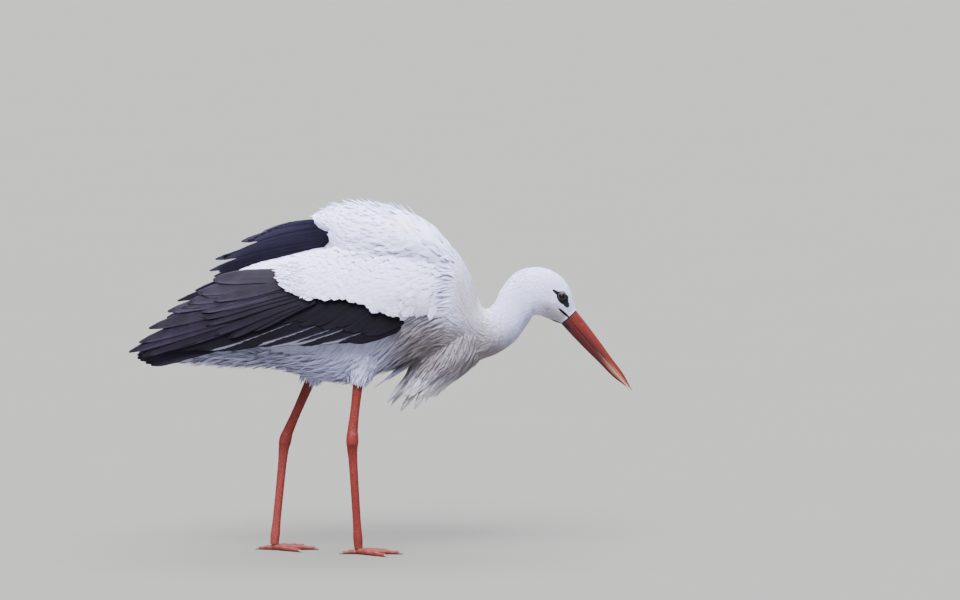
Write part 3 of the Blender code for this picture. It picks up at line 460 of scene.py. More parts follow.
def mesh_piece(name, points, quads, tris, finish, vane=None, patch=None, rim=None):
    """A mesh object of closed surfaces at the origin, from whole arrays.

    vane holds (across, along, chance) of every vertex for its material, patch the
    vertices' OFBake places, and rim is true at vertices whose joining edges are sharp.
    """
    points = np.asarray(points, float).reshape(-1, 3)
    quads = np.asarray(quads, np.int64).reshape(-1, 4)
    tris = np.asarray(tris, np.int64).reshape(-1, 3)
    quads, tris = outward(points - points.mean(axis=0), quads, tris)
    mesh = bpy.data.meshes.new(name)
    mesh.vertices.add(len(points))
    mesh.vertices.foreach_set("co", (points + SHIFT).astype(np.float32).ravel())
    corners = np.concatenate([quads.ravel(), tris.ravel()]).astype(np.int32)
    starts = np.concatenate([np.arange(len(quads)) * 4, len(quads) * 4 + np.arange(len(tris)) * 3])
    mesh.loops.add(len(corners))
    mesh.loops.foreach_set("vertex_index", corners)
    mesh.polygons.add(len(starts))
    mesh.polygons.foreach_set("loop_start", starts.astype(np.int32))
    mesh.polygons.foreach_set("use_smooth", np.ones(len(starts), bool))
    mesh.update(calc_edges=True)
    if vane is not None:
        marks = mesh.attributes.new("vane", "FLOAT_VECTOR", "POINT")
        marks.data.foreach_set("vector", np.asarray(vane, np.float32).ravel())
    if patch is not None:
        layer = mesh.uv_layers.new(name="OFBake")
        layer.data.foreach_set("uv", np.asarray(patch, np.float32).reshape(-1, 2)[corners].ravel())
    if rim is not None:
        ends = np.empty(len(mesh.edges) * 2, np.int32)
        mesh.edges.foreach_get("vertices", ends)
        sharp = np.asarray(rim, bool)[ends.reshape(-1, 2)].all(axis=1)
        mesh.attributes.new("sharp_edge", "BOOLEAN", "EDGE").data.foreach_set("value", sharp)
    mesh.materials.append(finish)
    made = bpy.data.objects.new(name, mesh)
    bpy.context.scene.collection.objects.link(made)
    return made


def union(name, forms, finish):
    """One piece out of overlapping closed forms, joined by exact unions."""
    skin, *others = [mesh_piece(name, *parts, finish) for parts in forms]
    for other in others:
        step = skin.modifiers.new("unite", "BOOLEAN")
        step.operation, step.solver, step.object = "UNION", "EXACT", other
    bpy.context.view_layer.update()
    graph = bpy.context.evaluated_depsgraph_get()
    mesh = bpy.data.meshes.new_from_object(skin.evaluated_get(graph))
    skin.modifiers.clear()
    skin.data = mesh
    mesh.polygons.foreach_set("use_smooth", np.ones(len(mesh.polygons), bool))
    for other in others:
        bpy.data.objects.remove(other, do_unlink=True)
    return skin


def placed(piece, slot, *nodes):
    """Rides the piece on the body and hides the nodes it stands for; `slot` is not used."""
    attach(piece, "root")
    if nodes:
        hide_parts(*nodes)


def grid_faces(rows, cols, wrap=False):
    """Quads of a grid of rows x cols points; wrap joins the last column to the first."""
    r = np.arange(rows - 1)[:, None]
    c = np.arange(cols if wrap else cols - 1)[None, :]
    after = (c + 1) % cols
    return np.stack([r * cols + c, r * cols + after, (r + 1) * cols + after,
                     (r + 1) * cols + c], axis=-1).reshape(-1, 4)


def fans(count, sides):
    """Triangles that close a tube of `count` rings with two points added after them."""
    c = np.arange(sides)
    after = (c + 1) % sides
    last = (count - 1) * sides
    return np.vstack([np.stack([after, c, c * 0 + count * sides], axis=1),
                      np.stack([last + c, last + after, c * 0 + count * sides + 1], axis=1)])


def closed_tube(rings):
    """Points, quads and triangles of a tube through rings, closed by fans at both ends."""
    count, sides = rings.shape[:2]
    points = np.vstack([rings.reshape(-1, 3), rings[0].mean(axis=0), rings[-1].mean(axis=0)])
    return points, grid_faces(count, sides, True), fans(count, sides)


def gathered(batches):
    """One batch of points, quads, triangles and vertex marks out of several."""
    starts = np.cumsum([0] + [len(batch[0]) for batch in batches])
    moved = [(points, quads + start, tris + start, *marks)
             for (points, quads, tris, *marks), start in zip(batches, starts)]
    return tuple(np.vstack(part) for part in zip(*moved))


def repeated(pattern, count, size):
    """A face pattern repeated for `count` shapes of `size` points each."""
    return (pattern[None] + (np.arange(count) * size)[:, None, None]).reshape(-1, pattern.shape[1])


def stacked(shape, *parts):
    """The parts spread over one shape and stacked as a vector."""
    return np.stack([np.broadcast_to(part, shape) for part in parts], axis=-1)


# ---------------------------------------------------------------- small feathers
# Blades of small feathers: (share from root to tip, share of the full width) per ring.
CONTOUR = ((0.16, 0.55), (0.55, 1.0), (0.88, 0.72))
LANCE = ((0.12, 0.55), (0.42, 1.0), (0.72, 0.70), (0.92, 0.26))
TUFT = ((0.20, 0.75), (0.62, 1.0))
PATCH = 0.003               # side of a feather's patch of the OFBake map


def small_feathers(surface, turn, place, length, width, rng, form=LANCE, run=-1.0, lean=0.0,
                   root=0.004, tip=0.0, uneven=0.0003, bow=0.0, thick=1.0, camber=0.10,
                   yaw=0.10, roll=0.07, region=(0.0, 0.0, 1.0, 1.0)):
    """Closed feather blades that lie along a surface.

    With s from root to tip, the middle line is surface(u + s du, v + s dv) + normal *
    height(s), where height = tip * s^1.5 - root * (1 - s)^1.3 + bow * sin(pi s). Each
    ring across it has a left edge, crest, right edge and keel; the edges hang by camber
    * half width. `run` and `lean` give the lie, `yaw` and `roll` its spread, in radians,
    and `region` the left, lower edge, width and height of the OFBake map in use.
    """
    u, v = place
    count = len(u)
    share = np.array([0.0, *(s for s, _ in form), 1.0])
    broad = np.array([w for _, w in form])
    size = rng.uniform(0.86, 1.14, count)
    length, width = length * size, width * rng.uniform(0.86, 1.12, count)
    lean = lean + rng.normal(0.0, yaw, count)
    _, slope_u, slope_v, _ = around(surface, turn, u, v)
    step_u = run * length * np.cos(lean) / np.linalg.norm(slope_u, axis=1)
    step_v = length * np.sin(lean) / np.maximum(np.linalg.norm(slope_v, axis=1), 0.02)
    points, _, _, normal = around(surface, turn, u[:, None] + step_u[:, None] * share,
                                  v[:, None] + step_v[:, None] * share)
    height = ((tip + rng.uniform(-uneven, uneven, count))[:, None] * share ** 1.5
              - (root * np.ones(count))[:, None] * (1 - share) ** 1.3
              + bow * np.sin(share * math.pi))
    path = points + normal * height[..., None]
    way = unit(np.gradient(path, axis=1))
    side = unit(np.cross(way, normal))
    face = np.cross(side, way)
    tilt = rng.normal(0.0, roll, count)[:, None, None]
    side, face = (side * np.cos(tilt) + face * np.sin(tilt),
                  face * np.cos(tilt) - side * np.sin(tilt))
    half = (width / 2)[:, None, None] * broad[None, :, None]
    middle, side, face = path[:, 1:-1], side[:, 1:-1], face[:, 1:-1]
    body = thick * sizes().barb_thickness * (0.4 + 0.6 * broad)[None, :, None]
    ring = np.stack([middle + side * half - face * camber * half, middle + face * body,
                     middle - side * half - face * camber * half, middle - face * body], axis=2)
    rings = len(form)
    points = np.concatenate([ring.reshape(count, -1, 3), path[:, :1], path[:, -1:]], axis=1)
    total = 4 * rings + 2
    across = np.concatenate([np.tile((-1.0, 0.0, 1.0, 0.0), rings), (0.0, 0.0)])
    down = np.concatenate([np.repeat(share[1:-1], 4), (0.0, 1.0)])
    chance = rng.uniform(0.0, 1.0, count)
    vane = stacked((count, total), across, down, chance[:, None])
    left, low, wide, high = region
    base = np.stack([left + wide * np.clip(u, 0.004, 0.996), low + high * (v % 1.0)], axis=-1)
    patch = base[:, None] + PATCH * np.stack([across / 2, down - 0.5], axis=-1)[None]
    return (points.reshape(-1, 3), repeated(grid_faces(rings, 4, True), count, total),
            repeated(fans(rings, 4), count, total), vane.reshape(-1, 3),
            np.clip(patch.reshape(-1, 2), 0.001, 0.999))


def coat_piece(name, batches, finish, slot="white_feather"):
    """One coat piece out of batches of feathers."""
    points, quads, tris, vane, patch = gathered(batches)
    rim = (np.abs(vane[:, 0]) > 0.5) | (vane[:, 1] < 0.001) | (vane[:, 1] > 0.999)
    placed(mesh_piece(name, points, quads, tris, finish, vane, patch, rim), slot)


# ---------------------------------------------------------------- flight feathers
def vane_outline(share, rng, count, blunt=2.2, quill=0.22):
    """Half width share of a flight feather: (s / quill)^0.6 at the root, then full, and
    sqrt(1 - ((s - 0.66) / 0.345)^blunt) to the tip, with a little wear."""
    rise = np.clip(share / quill, 0.02, 1.0) ** 0.6
    fall = np.sqrt(np.clip(1 - np.clip((share - 0.66) / 0.345, 0, 1) ** blunt, 0.0, 1.0))
    wear = 1 - rng.uniform(0.0, 0.07, (count, len(share))) * ease(share, 0.3, 0.9)
    return np.maximum(rise * fall, 0.05)[None] * wear


def plates(top, low, vane, places):
    """Closed batches between two grids of points per feather, (n, rows, cols, 3)."""
    count, rows, cols = top.shape[:3]
    single = rows * cols
    points = np.concatenate([top.reshape(count, single, 3), low.reshape(count, single, 3)], axis=1)
    sheet = grid_faces(rows, cols)
    rim = np.concatenate([np.arange(cols), np.arange(1, rows) * cols + cols - 1,
                          (rows - 1) * cols + np.arange(cols - 2, -1, -1),
                          np.arange(rows - 2, 0, -1) * cols])
    after = np.roll(rim, -1)
    faces = np.vstack([sheet, sheet[:, ::-1] + single,
                       np.stack([rim, rim + single, after + single, after], axis=1)])
    vane = np.concatenate([vane, vane], axis=1).reshape(count, 2 * single, 3)
    patch = places[:, None] + PATCH * (vane[..., :2] * (0.5, 1.0) - (0.0, 0.5))
    return (points.reshape(-1, 3), repeated(faces, count, 2 * single),
            np.zeros((0, 3), np.int64), vane.reshape(-1, 3), patch.reshape(-1, 2))


def vane_piece(name, batch, finish, slot, *nodes):
    """One piece of flight feathers."""
    placed(mesh_piece(name, *batch[:3], finish, *batch[3:]), slot, *nodes)


def wing_vanes(side, root_line, tip_line, count, half_width, layer, rng, thick=1.0,
               tuck=0.0009, bow=0.0, bend=0.0, blunt=2.2, quill=0.22, wild=0.0007, chance=None):
    """Flight feathers on the wing's face.

    Middle line (x, z) = root + (tip - root) s, raised by bow * sin(pi s) at the first
    feathers and curved by bend * sin(pi s) across its way. A point across the vane is
    moved square to it by c * half width(s), c from -1 to 1, and lies at wing_face -
    layer - tuck * c, so that each feather's lower edge covers the next one. `wild` is
    the spread of the tips in metres.
    """
    shares = np.linspace(0.0, 1.0, count)
    s, c = np.linspace(0.0, 1.0, 18), np.linspace(-1.0, 1.0, 9)
    c = np.sign(c) * np.abs(c) ** 0.8
    start, end = along(root_line, shares), along(tip_line, shares)
    start = start + rng.normal(0.0, 0.0007, start.shape)
    end = end + rng.normal(0.0, wild, end.shape)
    way = end - start
    reach = np.linalg.norm(way, axis=1)
    way = way / reach[:, None]
    square = np.stack([-way[:, 1], way[:, 0]], axis=1)
    square *= np.sign(square[:, 1:2] + 1e-9)
    reach = reach * rng.uniform(0.975 - wild * 12, 1.02, count)
    half = half_width * vane_outline(s, rng, count, blunt, quill)
    centre = (start[:, None] + way[:, None] * (reach[:, None] * s)[..., None]
              + square[:, None] * (bend * np.sin(s * math.pi))[None, :, None])
    centre[..., 1] += bow * np.sin(s * math.pi)[None] * (1 - shares[:, None])
    grid = centre[:, :, None] + square[:, None, None] * (half[..., None] * c)[..., None]
    grid = grid - way[:, None, None] * (0.30 * half[..., None] * np.abs(c) ** 2
                                        * ease(s, 0.5, 1.0)[:, None])[..., None]
    x, z = grid[..., 0], grid[..., 1]
    face = wing_face(x, z - wing_rise(side, x)) - layer
    crest = 0.08 * half[..., None] * (1 - c ** 2) + 0.00012 * np.exp(-(c / 0.10) ** 2)
    out = face + crest - tuck * c * ease(s, 0.0, 0.2)[:, None]
    depth = sizes().vane_thickness * thick
    thin = depth * (1 - 0.65 * s)[None, :, None] * (1 - 0.45 * c ** 2)
    top = np.stack([x, side * out, z], axis=-1)
    low = np.stack([x, side * (out - thin), z], axis=-1)
    mark = rng.uniform(0, 1, count) if chance is None else chance
    vane = stacked(x.shape, c, s[:, None], mark[:, None, None])
    places = np.stack([0.04 + 0.92 * shares, np.full(count, 0.5)], axis=1)
    return plates(top, low, vane.reshape(count, -1, 3), places)


# ---------------------------------------------------------------- finishes
def maths(operation):
    """A method of Value that adds one Math node over the value and its terms."""
    return lambda *terms: terms[0].finish.node("ShaderNodeMath", {"operation": operation},
                                               dict(enumerate(terms)))


class Value:
    """A number in a node tree. Python arithmetic on it adds Math nodes."""
    __add__ = __radd__ = maths("ADD")
    __mul__ = __rmul__ = maths("MULTIPLY")
    __sub__, __truediv__, __pow__ = maths("SUBTRACT"), maths("DIVIDE"), maths("POWER")
    __abs__, sin, most = maths("ABSOLUTE"), maths("SINE"), maths("MAXIMUM")

    def __init__(self, finish, socket):
        self.finish, self.socket = finish, socket

    def __rsub__(self, other):
        return maths("ADD")(self * -1.0, other)

    def between(self, low, high):
        """A smooth step: 0 at low, 1 at high."""
        return self.finish.node("ShaderNodeMapRange", {"interpolation_type": "SMOOTHSTEP"},
                                {"Value": self, "From Min": low, "From Max": high})


class Finish:
    """A node material with one Principled shader."""

    def __init__(self, name, **shader):
        self.material = bpy.data.materials.new(name)
        self.material.use_nodes = True
        self.tree = self.material.node_tree
        self.shader = self.tree.nodes["Principled BSDF"]
        for socket, value in shader.items():
            self.shader.inputs[socket.replace("_", " ")].default_value = value

    def node(self, kind, settings=None, values=None, output=0):
        """Adds a node: its type, its settings, then the values or links of its sockets."""
        made = self.tree.nodes.new(kind)
        for word, value in (settings or {}).items():
            setattr(made, word, value)
        for word, value in (values or {}).items():
            self.give(made.inputs[word], value)
        return Value(self, made.outputs[output])

    def give(self, socket, value):
        """Links a value to a socket, or sets it there."""
        if isinstance(value, Value):
            self.tree.links.new(value.socket, socket)
        else:
            socket.default_value = value

    def parts(self, vector):
        """The three numbers of a vector."""
        split = self.node("ShaderNodeSeparateXYZ", values={0: vector}).socket.node
        return [Value(self, split.outputs[k]) for k in range(3)]

    def place(self):
        """Object coordinates."""
        return self.node("ShaderNodeTexCoord", output="Object")

    def mark(self, name):
        """A vertex attribute's vector."""
        return self.node("ShaderNodeAttribute", {"attribute_name": name}, output="Vector")

    def noise(self, vector, scale, detail=2.0, rough=0.5):
        """Noise from 0 to 1."""
        return self.node("ShaderNodeTexNoise", None,
                         {"Vector": vector, "Scale": scale, "Detail": detail, "Roughness": rough})

    def stretched(self, vector, factors, turn=(0.0, 0.0, 0.0)):
        """Coordinates turned and scaled, for patterns drawn out along one way."""
        return self.node("ShaderNodeMapping", None,
                         {"Vector": vector, "Rotation": turn, "Scale": factors})

    def cells(self, vector, scale, feature="F1"):
        """Distance to the nearest cell centre or edge."""
        return self.node("ShaderNodeTexVoronoi", {"feature": feature},
                         {"Vector": vector, "Scale": scale}, "Distance")

    def mix(self, factor, first, second):
        """Colour from first to second by factor."""
        made = self.node("ShaderNodeMix", {"data_type": "RGBA"}, output=2)
        for socket, value in zip((0, 6, 7), (factor, first, second)):
            plain = not isinstance(value, Value) and socket > 0
            self.give(made.socket.node.inputs[socket], (*value[:3], 1.0) if plain else value)
        return made

    def over(self, base, *layers):
        """Colours laid over a base in turn, each as strongly as its own mask."""
        for mask, tint in layers:
            base = self.mix(mask, base, tint)
        return base

    def bump(self, height, distance, strength=1.0):
        """A bumped normal from a height; distance is in metres."""
        return self.node("ShaderNodeBump", None, {"Height": height, "Distance": distance,
                                                  "Strength": strength})

    def done(self, colour, roughness=None, normal=None):
        """Joins the results to the shader and returns the material."""
        self.give(self.shader.inputs["Base Color"], colour)
        if roughness is not None:
            self.give(self.shader.inputs["Roughness"], roughness)
        if normal is not None:
            self.give(self.shader.inputs["Normal"], normal)
        return self.material


def colours():
    """The stork's colours."""
    return bpy.context.scene.stork_colours


def sizes():
    """The stork's sizes."""
    return bpy.context.scene.stork_sizes


def oval(x, z, centre, length, width, angle):
    """Squared reach inside a turned oval, 1 at its edge; centre is (x, z) before SHIFT."""
    c, s = math.cos(math.radians(angle)), math.sin(math.radians(angle))
    dx, dz = x - (centre[0] + SHIFT[0]), z - (centre[1] + SHIFT[2])
    forth, over = (dx * c + dz * s) / length, (dz * c - dx * s) / width
    return forth * forth + over * over


# Dark marks of the face as ovals: centre x, z, half length, half width, angle.
FACE_MARKS = (
    ((0.3060, 0.4368), 0.0130, 0.0082, -52.0),
    ((0.2978, 0.4450), 0.0112, 0.0030, -36.0),
    ((0.3118, 0.4278), 0.0085, 0.0048, -58.0),
    ((0.3100, 0.4386), 0.0068, 0.0050, -30.0),
    ((0.3085, 0.4112), 0.0128, 0.0023, -42.0),
    ((0.2975, 0.3918), 0.0150, 0.0042, -26.0),
)
# Soft marks in the plumage, as ovals again: a cream cheek, painted shade in the wing fold and in
# the groove under the hump, and a cream patch on the neck that is partly painted shade.
CHEEK = ((0.2900, 0.4120), 0.0210, 0.0130, -35.0)
WING_FOLD_SHADE = ((0.1010, 0.4530), 0.0300, 0.0120, 58.0)
NAPE = ((0.1520, 0.4300), 0.0600, 0.0260, -68.0)
GROOVE_SHADE = ((-0.0040, 0.5165), 0.0560, 0.0042, 5.0)
PARTINGS = (((0.0260, 0.5690), 0.0270, 0.0036, -45.0), ((0.0480, 0.5620), 0.0250, 0.0032, -48.0))


def face_mask(x, z):
    """1 on the bare black skin of the face and 0 off it."""
    return functools.reduce(Value.most, [oval(x, z, *mark).between(1.12, 0.88)
                                         for mark in FACE_MARKS])


def plumage_colour(finish, place, lit, chance):
    """White plumage with its markings, the same on skin and coat.

    Cream grows over the ruff and breast in streaks drawn out along the lie, over painted
    shade between the plumes; painted shade also darkens the feather roots, the belly, the
    ruff's middle band, the wing fold, the groove under the hump and the feathers under the
    tail, and the plume tips are painted lighter; lit (0 to 1) runs from a feather's root to
    its tip.
    """
    c = colours()
    x, _, z = finish.parts(place)
    cloud = finish.noise(place, 26.0, 3.0)
    # painted shade: each feather darker towards its root
    white = finish.mix(lit * 0.75 + cloud * 0.25, c.down, c.white)
    # painted shade: the belly darker towards its underside, in the shade and root colours
    under = z.between(0.430, 0.365) * x.between(0.16, 0.06) * (0.75 + 0.25 * cloud)
    white = finish.mix(under, white, finish.mix(lit, c.shade, c.down))
    breast = ((z + x * 0.30).between(0.490, 0.405) * x.between(-0.02, 0.05)
              * x.between(0.245, 0.185))
    turned = finish.stretched(place, (1.0, 1.0, 0.16), (0.0, math.radians(38.0), 0.0))
    strand = finish.noise(turned, 330.0, 3.0, 0.6)
    streaks = (strand * 0.60 + chance * 0.50).between(0.36, 0.70) * (0.45 + 0.55 * lit)
    # painted shade: the ruff's middle band, under the body's overhang, darker
    ruff_band_shade = z.between(0.412, 0.372) * z.between(0.285, 0.325)
    # painted light: plume tips lighter towards their ends, the lowest ends near white
    pale = lit.between(0.62, 1.0) * chance.between(0.1, 0.9) * (1 - ruff_band_shade * 0.85)
    plume = finish.over(c.ruff_shade, (streaks, c.cream), (pale * 0.70, c.white),
                        (ruff_band_shade * (0.95 - 0.17 * lit), c.ruff_shade),
                        (z.between(0.306, 0.266) * (0.50 + 0.50 * chance), c.plume_tip_light))
    for mark in PARTINGS:
        white = finish.mix(oval(x, z, *mark).between(1.5, 0.2) * 0.50, white, c.blush)
    # painted shade in the wing fold and the groove; the neck patch is cream tint and partly
    # painted shade
    for mark, strength, tint in ((CHEEK, 1.0, c.cream), (WING_FOLD_SHADE, 0.35, c.shade),
                                 (GROOVE_SHADE, 0.75, c.shade), (NAPE, 0.90, c.cream)):
        soft = oval(x, z, *mark).between(2.0, 0.0) * strength
        white = finish.mix(soft * (0.6 + 0.4 * strand), white, tint)
    # painted shade: grey under the tail, strongest towards the feather roots
    tail = z.between(0.386, 0.362) * x.between(-0.10, -0.19) * (1 - lit.between(0.45, 1.0) * 0.85)
    white = finish.mix(tail * (0.55 + 0.45 * strand), white, c.undertail_shade)
    return finish.mix(breast * (0.78 + 0.22 * cloud), white, plume)


def plumage_finish(name, grain=1.0):
    """Soft white feathers: barbs slanting from the shaft, faint shaft, shaded roots."""
    f = Finish(name, Roughness=0.72, Sheen_Weight=0.18, Sheen_Roughness=0.4,
               Specular_IOR_Level=0.25)
    across, down, chance = f.parts(f.mark("vane"))
    place = f.place()
    lit = down.between(0.0, 0.60) * (0.80 + 0.20 * chance)
    base = plumage_colour(f, place, lit, chance)
    x, _, z = f.parts(place)
    base = f.mix(face_mask(x, z), base, colours().bare)
    barbs = (down * 34.0 + abs(across) * 9.0 + chance * 6.0).sin()
    fray = f.noise(place, 900.0 * grain, 2.0)
    shaft = abs(across).between(0.10, 0.02)
    height = barbs * 0.30 + fray * 0.6 + shaft * 0.5
    return f.done(base, 0.62 + 0.2 * fray, f.bump(height, 0.00025))


def skin_finish():
    """Feathered skin: the coat's own colours, downy bump, bare black face skin."""
    f = Finish("feathered_skin", Roughness=0.7, Specular_IOR_Level=0.15)
    place = f.place()
    x, _, z = f.parts(place)
    fluff = f.noise(f.stretched(place, (1.0, 1.0, 0.5)), 420.0, 4.0)
    bare = face_mask(x, z)
    base = plumage_colour(f, place, 0.55 + 0.3 * fluff, fluff)
    wrinkle = f.cells(place, 900.0)
    base = f.mix(bare, base, f.mix(wrinkle, colours().bare, (0.014, 0.013, 0.015)))
    height = fluff * (1 - bare) + wrinkle * bare * 0.5
    return f.done(base, 0.75 - bare * 0.30, f.bump(height, 0.0006))


def flight_finish(name, worn, silvered=False):
    """Black flight feathers: violet edges, partly real wear and partly painted sheen and
    light, as strong as `worn`, painted shade where the next feather lies over them, painted
    light on the marked inner faces of the far tertials, and pale outer webs on the
    `silvered` ones."""
    f = Finish(name, Roughness=0.5, Sheen_Weight=0.03, Sheen_Roughness=0.4,
               Specular_IOR_Level=0.11)
    c = colours()
    across, down, chance = f.parts(f.mark("vane"))
    place = f.place()
    cloud = f.noise(place, 38.0, 3.0)
    strand = f.noise(f.stretched(f.mark("vane"), (14.0, 1.3, 40.0)), 3.2, 3.0, 0.6)
    edge = abs(across).between(0.70, 1.0)
    lit_open_web = across.between(-0.05, -0.80)
    # partly real wear, partly painted sheen and light: lighter on the open lower web and towards
    # the tip, painted shade where the next feather covers it
    edge_wear_and_sheen = (edge * 0.35 + strand.between(0.42, 0.74) * 0.45 + cloud.between(0.4, 0.8) * 0.20
             + lit_open_web * 0.35)
    base = f.mix(edge_wear_and_sheen * (0.30 + 0.70 * down) * (0.30 + 1.0 * chance) * worn, c.black, c.edge_wear_and_sheen)
    if silvered:
        web = across.between(-0.46, -0.66) * down.between(0.30, 0.52) * (0.35 + 0.65 * strand)
        base = f.mix(web * chance.between(0.45, 0.55), base, c.silver)
    shaft = abs(across).between(0.060, 0.025)
    # painted light on the far tertials' inner faces, marked by chance 3
    base = f.over(base, (chance.between(2.0, 3.0) * (0.55 + 0.45 * strand), c.inner),
                  (shaft * 0.16, (0.030, 0.026, 0.034)))
    barbs = (down * 260.0 + abs(across) * 46.0 + chance * 6.0).sin()
    height = barbs * 0.25 + strand * 0.8
    return f.done(base, 0.42 + 0.25 * strand - 0.12 * shaft, f.bump(height, 0.0004, 0.8))


def bill_finish():
    """Horn of the bill: long fine grain, darker base, painted shade over the lower half and a
    painted highlight on the cutting edge towards the tip.
    """
    f = Finish("bill_horn", Roughness=0.35, Specular_IOR_Level=0.28, Coat_Weight=0.05,
               Coat_Roughness=0.3)
    c = colours()
    turn, down, upper = f.parts(f.mark("vane"))
    grain = f.noise(f.stretched(f.mark("vane"), (9.0, 0.5, 1.0)), 6.0, 4.0, 0.6)
    blot = f.noise(f.place(), 55.0, 4.0)
    worn = grain * 0.6 + blot * 0.5
    top = f.over(c.bill, (worn.between(0.35, 0.80), (0.085, 0.008, 0.007)),
                 (abs(turn).between(0.55, 0.0) * 0.38, (0.24, 0.032, 0.020)))
    # painted shade: the lower half darker
    under = f.mix(worn.between(0.30, 0.80), c.bill_lower_shade, (0.048, 0.005, 0.007))
    rim = abs(turn).between(0.86, 0.97)
    chin = (1 - upper) * abs(turn).between(0.96, 0.86) * down.between(0.14, 0.05)
    base = f.over(under, (upper, top),
                  (rim * down.between(0.05, 0.35) * 0.55, (0.050, 0.008, 0.008)),
                  # painted highlight along the cutting edge towards the tip
                  (rim * down.between(0.50, 0.80) * 0.6, (0.38, 0.14, 0.075)),
                  (chin, c.bare), (down.between(0.05, 0.0) * 0.55, (0.06, 0.014, 0.012)))
    return f.done(base, 0.30 + 0.22 * blot, f.bump(grain * 0.7 + blot * 0.3, 0.00035, 0.7))


def leg_finish():
    """Bare leg skin: flat many-sided scales with dark furrows and dusty patches."""
    f = Finish("leg_scales", Roughness=0.5, Specular_IOR_Level=0.3)
    c = colours()
    place = f.place()
    tall = f.stretched(place, (1.0, 1.0, 0.72))
    scale = f.cells(tall, 310.0, "DISTANCE_TO_EDGE").between(0.02, 0.22)
    blot = f.noise(place, 34.0, 4.0, 0.6)
    fine = f.noise(place, 1500.0, 3.0)
    base = f.mix(blot.between(0.30, 0.75), c.leg, (0.175, 0.018, 0.015))
    dust = f.noise(place, 90.0, 5.0, 0.7).between(0.56, 0.78)
    _, _, z = f.parts(place)
    base = f.over(c.leg_dark, (scale, base), (dust * 0.30, (0.24, 0.11, 0.09)),
                  (z.between(0.030, 0.004) * 0.35, (0.10, 0.030, 0.022)))
    return f.done(base, 0.42 + 0.2 * fine + 0.1 * dust,
                  f.bump(scale * 0.8 + fine * 0.15, 0.0005, 0.8))


def claw_finish():
    """Dull dark horn with grain along each claw."""
    f = Finish("claw_horn", Roughness=0.4)
    place = f.place()
    grain = f.noise(f.stretched(place, (0.3, 1.0, 1.0)), 700.0, 3.0)
    base = f.mix(grain.between(0.3, 0.7), colours().claw, (0.16, 0.095, 0.065))
    return f.done(base, 0.35 + 0.2 * grain, f.bump(grain, 0.0003))


def eye_finish():
    """Glossy eye: black pupil, dark brown iris with fine rays, dark rim."""
    f = Finish("eye", Roughness=0.15, Specular_IOR_Level=0.10, Coat_Weight=0.12,
               Coat_Roughness=0.02)
    place = f.place()
    x, _, z = f.parts(place)
    dx, dz = x - (EYE_CENTRE[0] + SHIFT[0]), z - (EYE_CENTRE[2] + SHIFT[2])
    reach = (dx * dx + dz * dz) ** 0.5
    rays = f.noise(f.stretched(place, (1.0, 0.2, 1.0)), 1800.0, 3.0)
    iris = f.mix(rays.between(0.3, 0.7), colours().iris, (0.008, 0.005, 0.004))
    return f.done(f.over((0.002, 0.002, 0.002), (reach.between(0.0021, 0.0024), iris),
                         (reach.between(0.0042, 0.0048), (0.004, 0.003, 0.003))))


def floor_finish():
    """Plain pale matt floor with a faint grain."""
    f = Finish("floor", Roughness=0.9)
    tint = tuple(bpy.context.scene.stork_stage.floor)
    return f.done(f.mix(f.noise(f.place(), 3.0, 5.0), tint, tuple(k * 1.04 for k in tint)))


# ---------------------------------------------------------------- skin
def dent(points, centre, reach, depth):
    """Depth * exp(-(distance / reach)^2) round a point, in side view and on both sides."""
    away = (points[..., 0] - centre[0]) ** 2 + (points[..., 2] - centre[1]) ** 2
    return depth * np.exp(-away / reach ** 2)


def furrow(points, start, end, reach, depth):
    """Depth * exp(-(distance / reach)^2) round a straight line in side view."""
    flat = points[..., (0, 2)] - np.array(start)
    way = np.array(end) - np.array(start)
    share = np.clip(flat @ way / (way @ way), 0.0, 1.0)
    away = np.linalg.norm(flat - share[..., None] * way, axis=-1)
    return depth * np.exp(-(away / reach) ** 2)


def face_relief(points):
    """Height of the face's forms over the plain head, in metres.

    Sum of dents and furrows: brow ridge, socket, lore, cheek, gape and chin.
    """
    flank = ease(np.abs(points[..., 1]), 0.006, 0.013)
    forms = (dent(points, (0.3075, 0.4545), 0.0070, 0.0011)
             + furrow(points, (0.296, 0.4530), (0.3150, 0.4470), 0.0030, 0.0011)
             - dent(points, (0.3055, 0.4400), 0.0085, 0.0015)
             - furrow(points, (0.3120, 0.4300), (0.3240, 0.4150), 0.0036, 0.0011)
             + furrow(points, (0.2985, 0.4300), (0.3120, 0.4130), 0.0036, 0.0010)
             - furrow(points, (0.2960, 0.4215), (0.3140, 0.4030), 0.0011, 0.0010)
             + dent(points, (0.2900, 0.4170), 0.0100, 0.0012)
             - dent(points, (0.2700, 0.4200), 0.0140, 0.0010)
             + dent(points, (0.2930, 0.4560), 0.0140, 0.0006))
    return flank * forms


def body_depth(row):
    """How deep the skin lies under the outline, by row of the body."""
    return np.interp(row, *SKIN_DEPTH)


def body_skin():
    """Trunk, neck and head: point = surface(u, v) - normal * depth(u) + relief."""
    row = np.concatenate([np.linspace(0.15, NECK_ROW, 46, endpoint=False),
                          np.linspace(NECK_ROW, HEAD_ROW, 44, endpoint=False),
                          np.linspace(HEAD_ROW, ROWS, 92)])
    u, v = np.meshgrid(row / ROWS, np.arange(BODY_SIDES) / BODY_SIDES, indexing="ij")
    points, _, _, normal = around(egg(BODY, BODY_POWER), 1.0, u, v)
    lift = face_relief(points) * ease(u * ROWS, 15.0, 16.0) - body_depth(u * ROWS)
    return closed_tube(points + normal * lift[..., None])


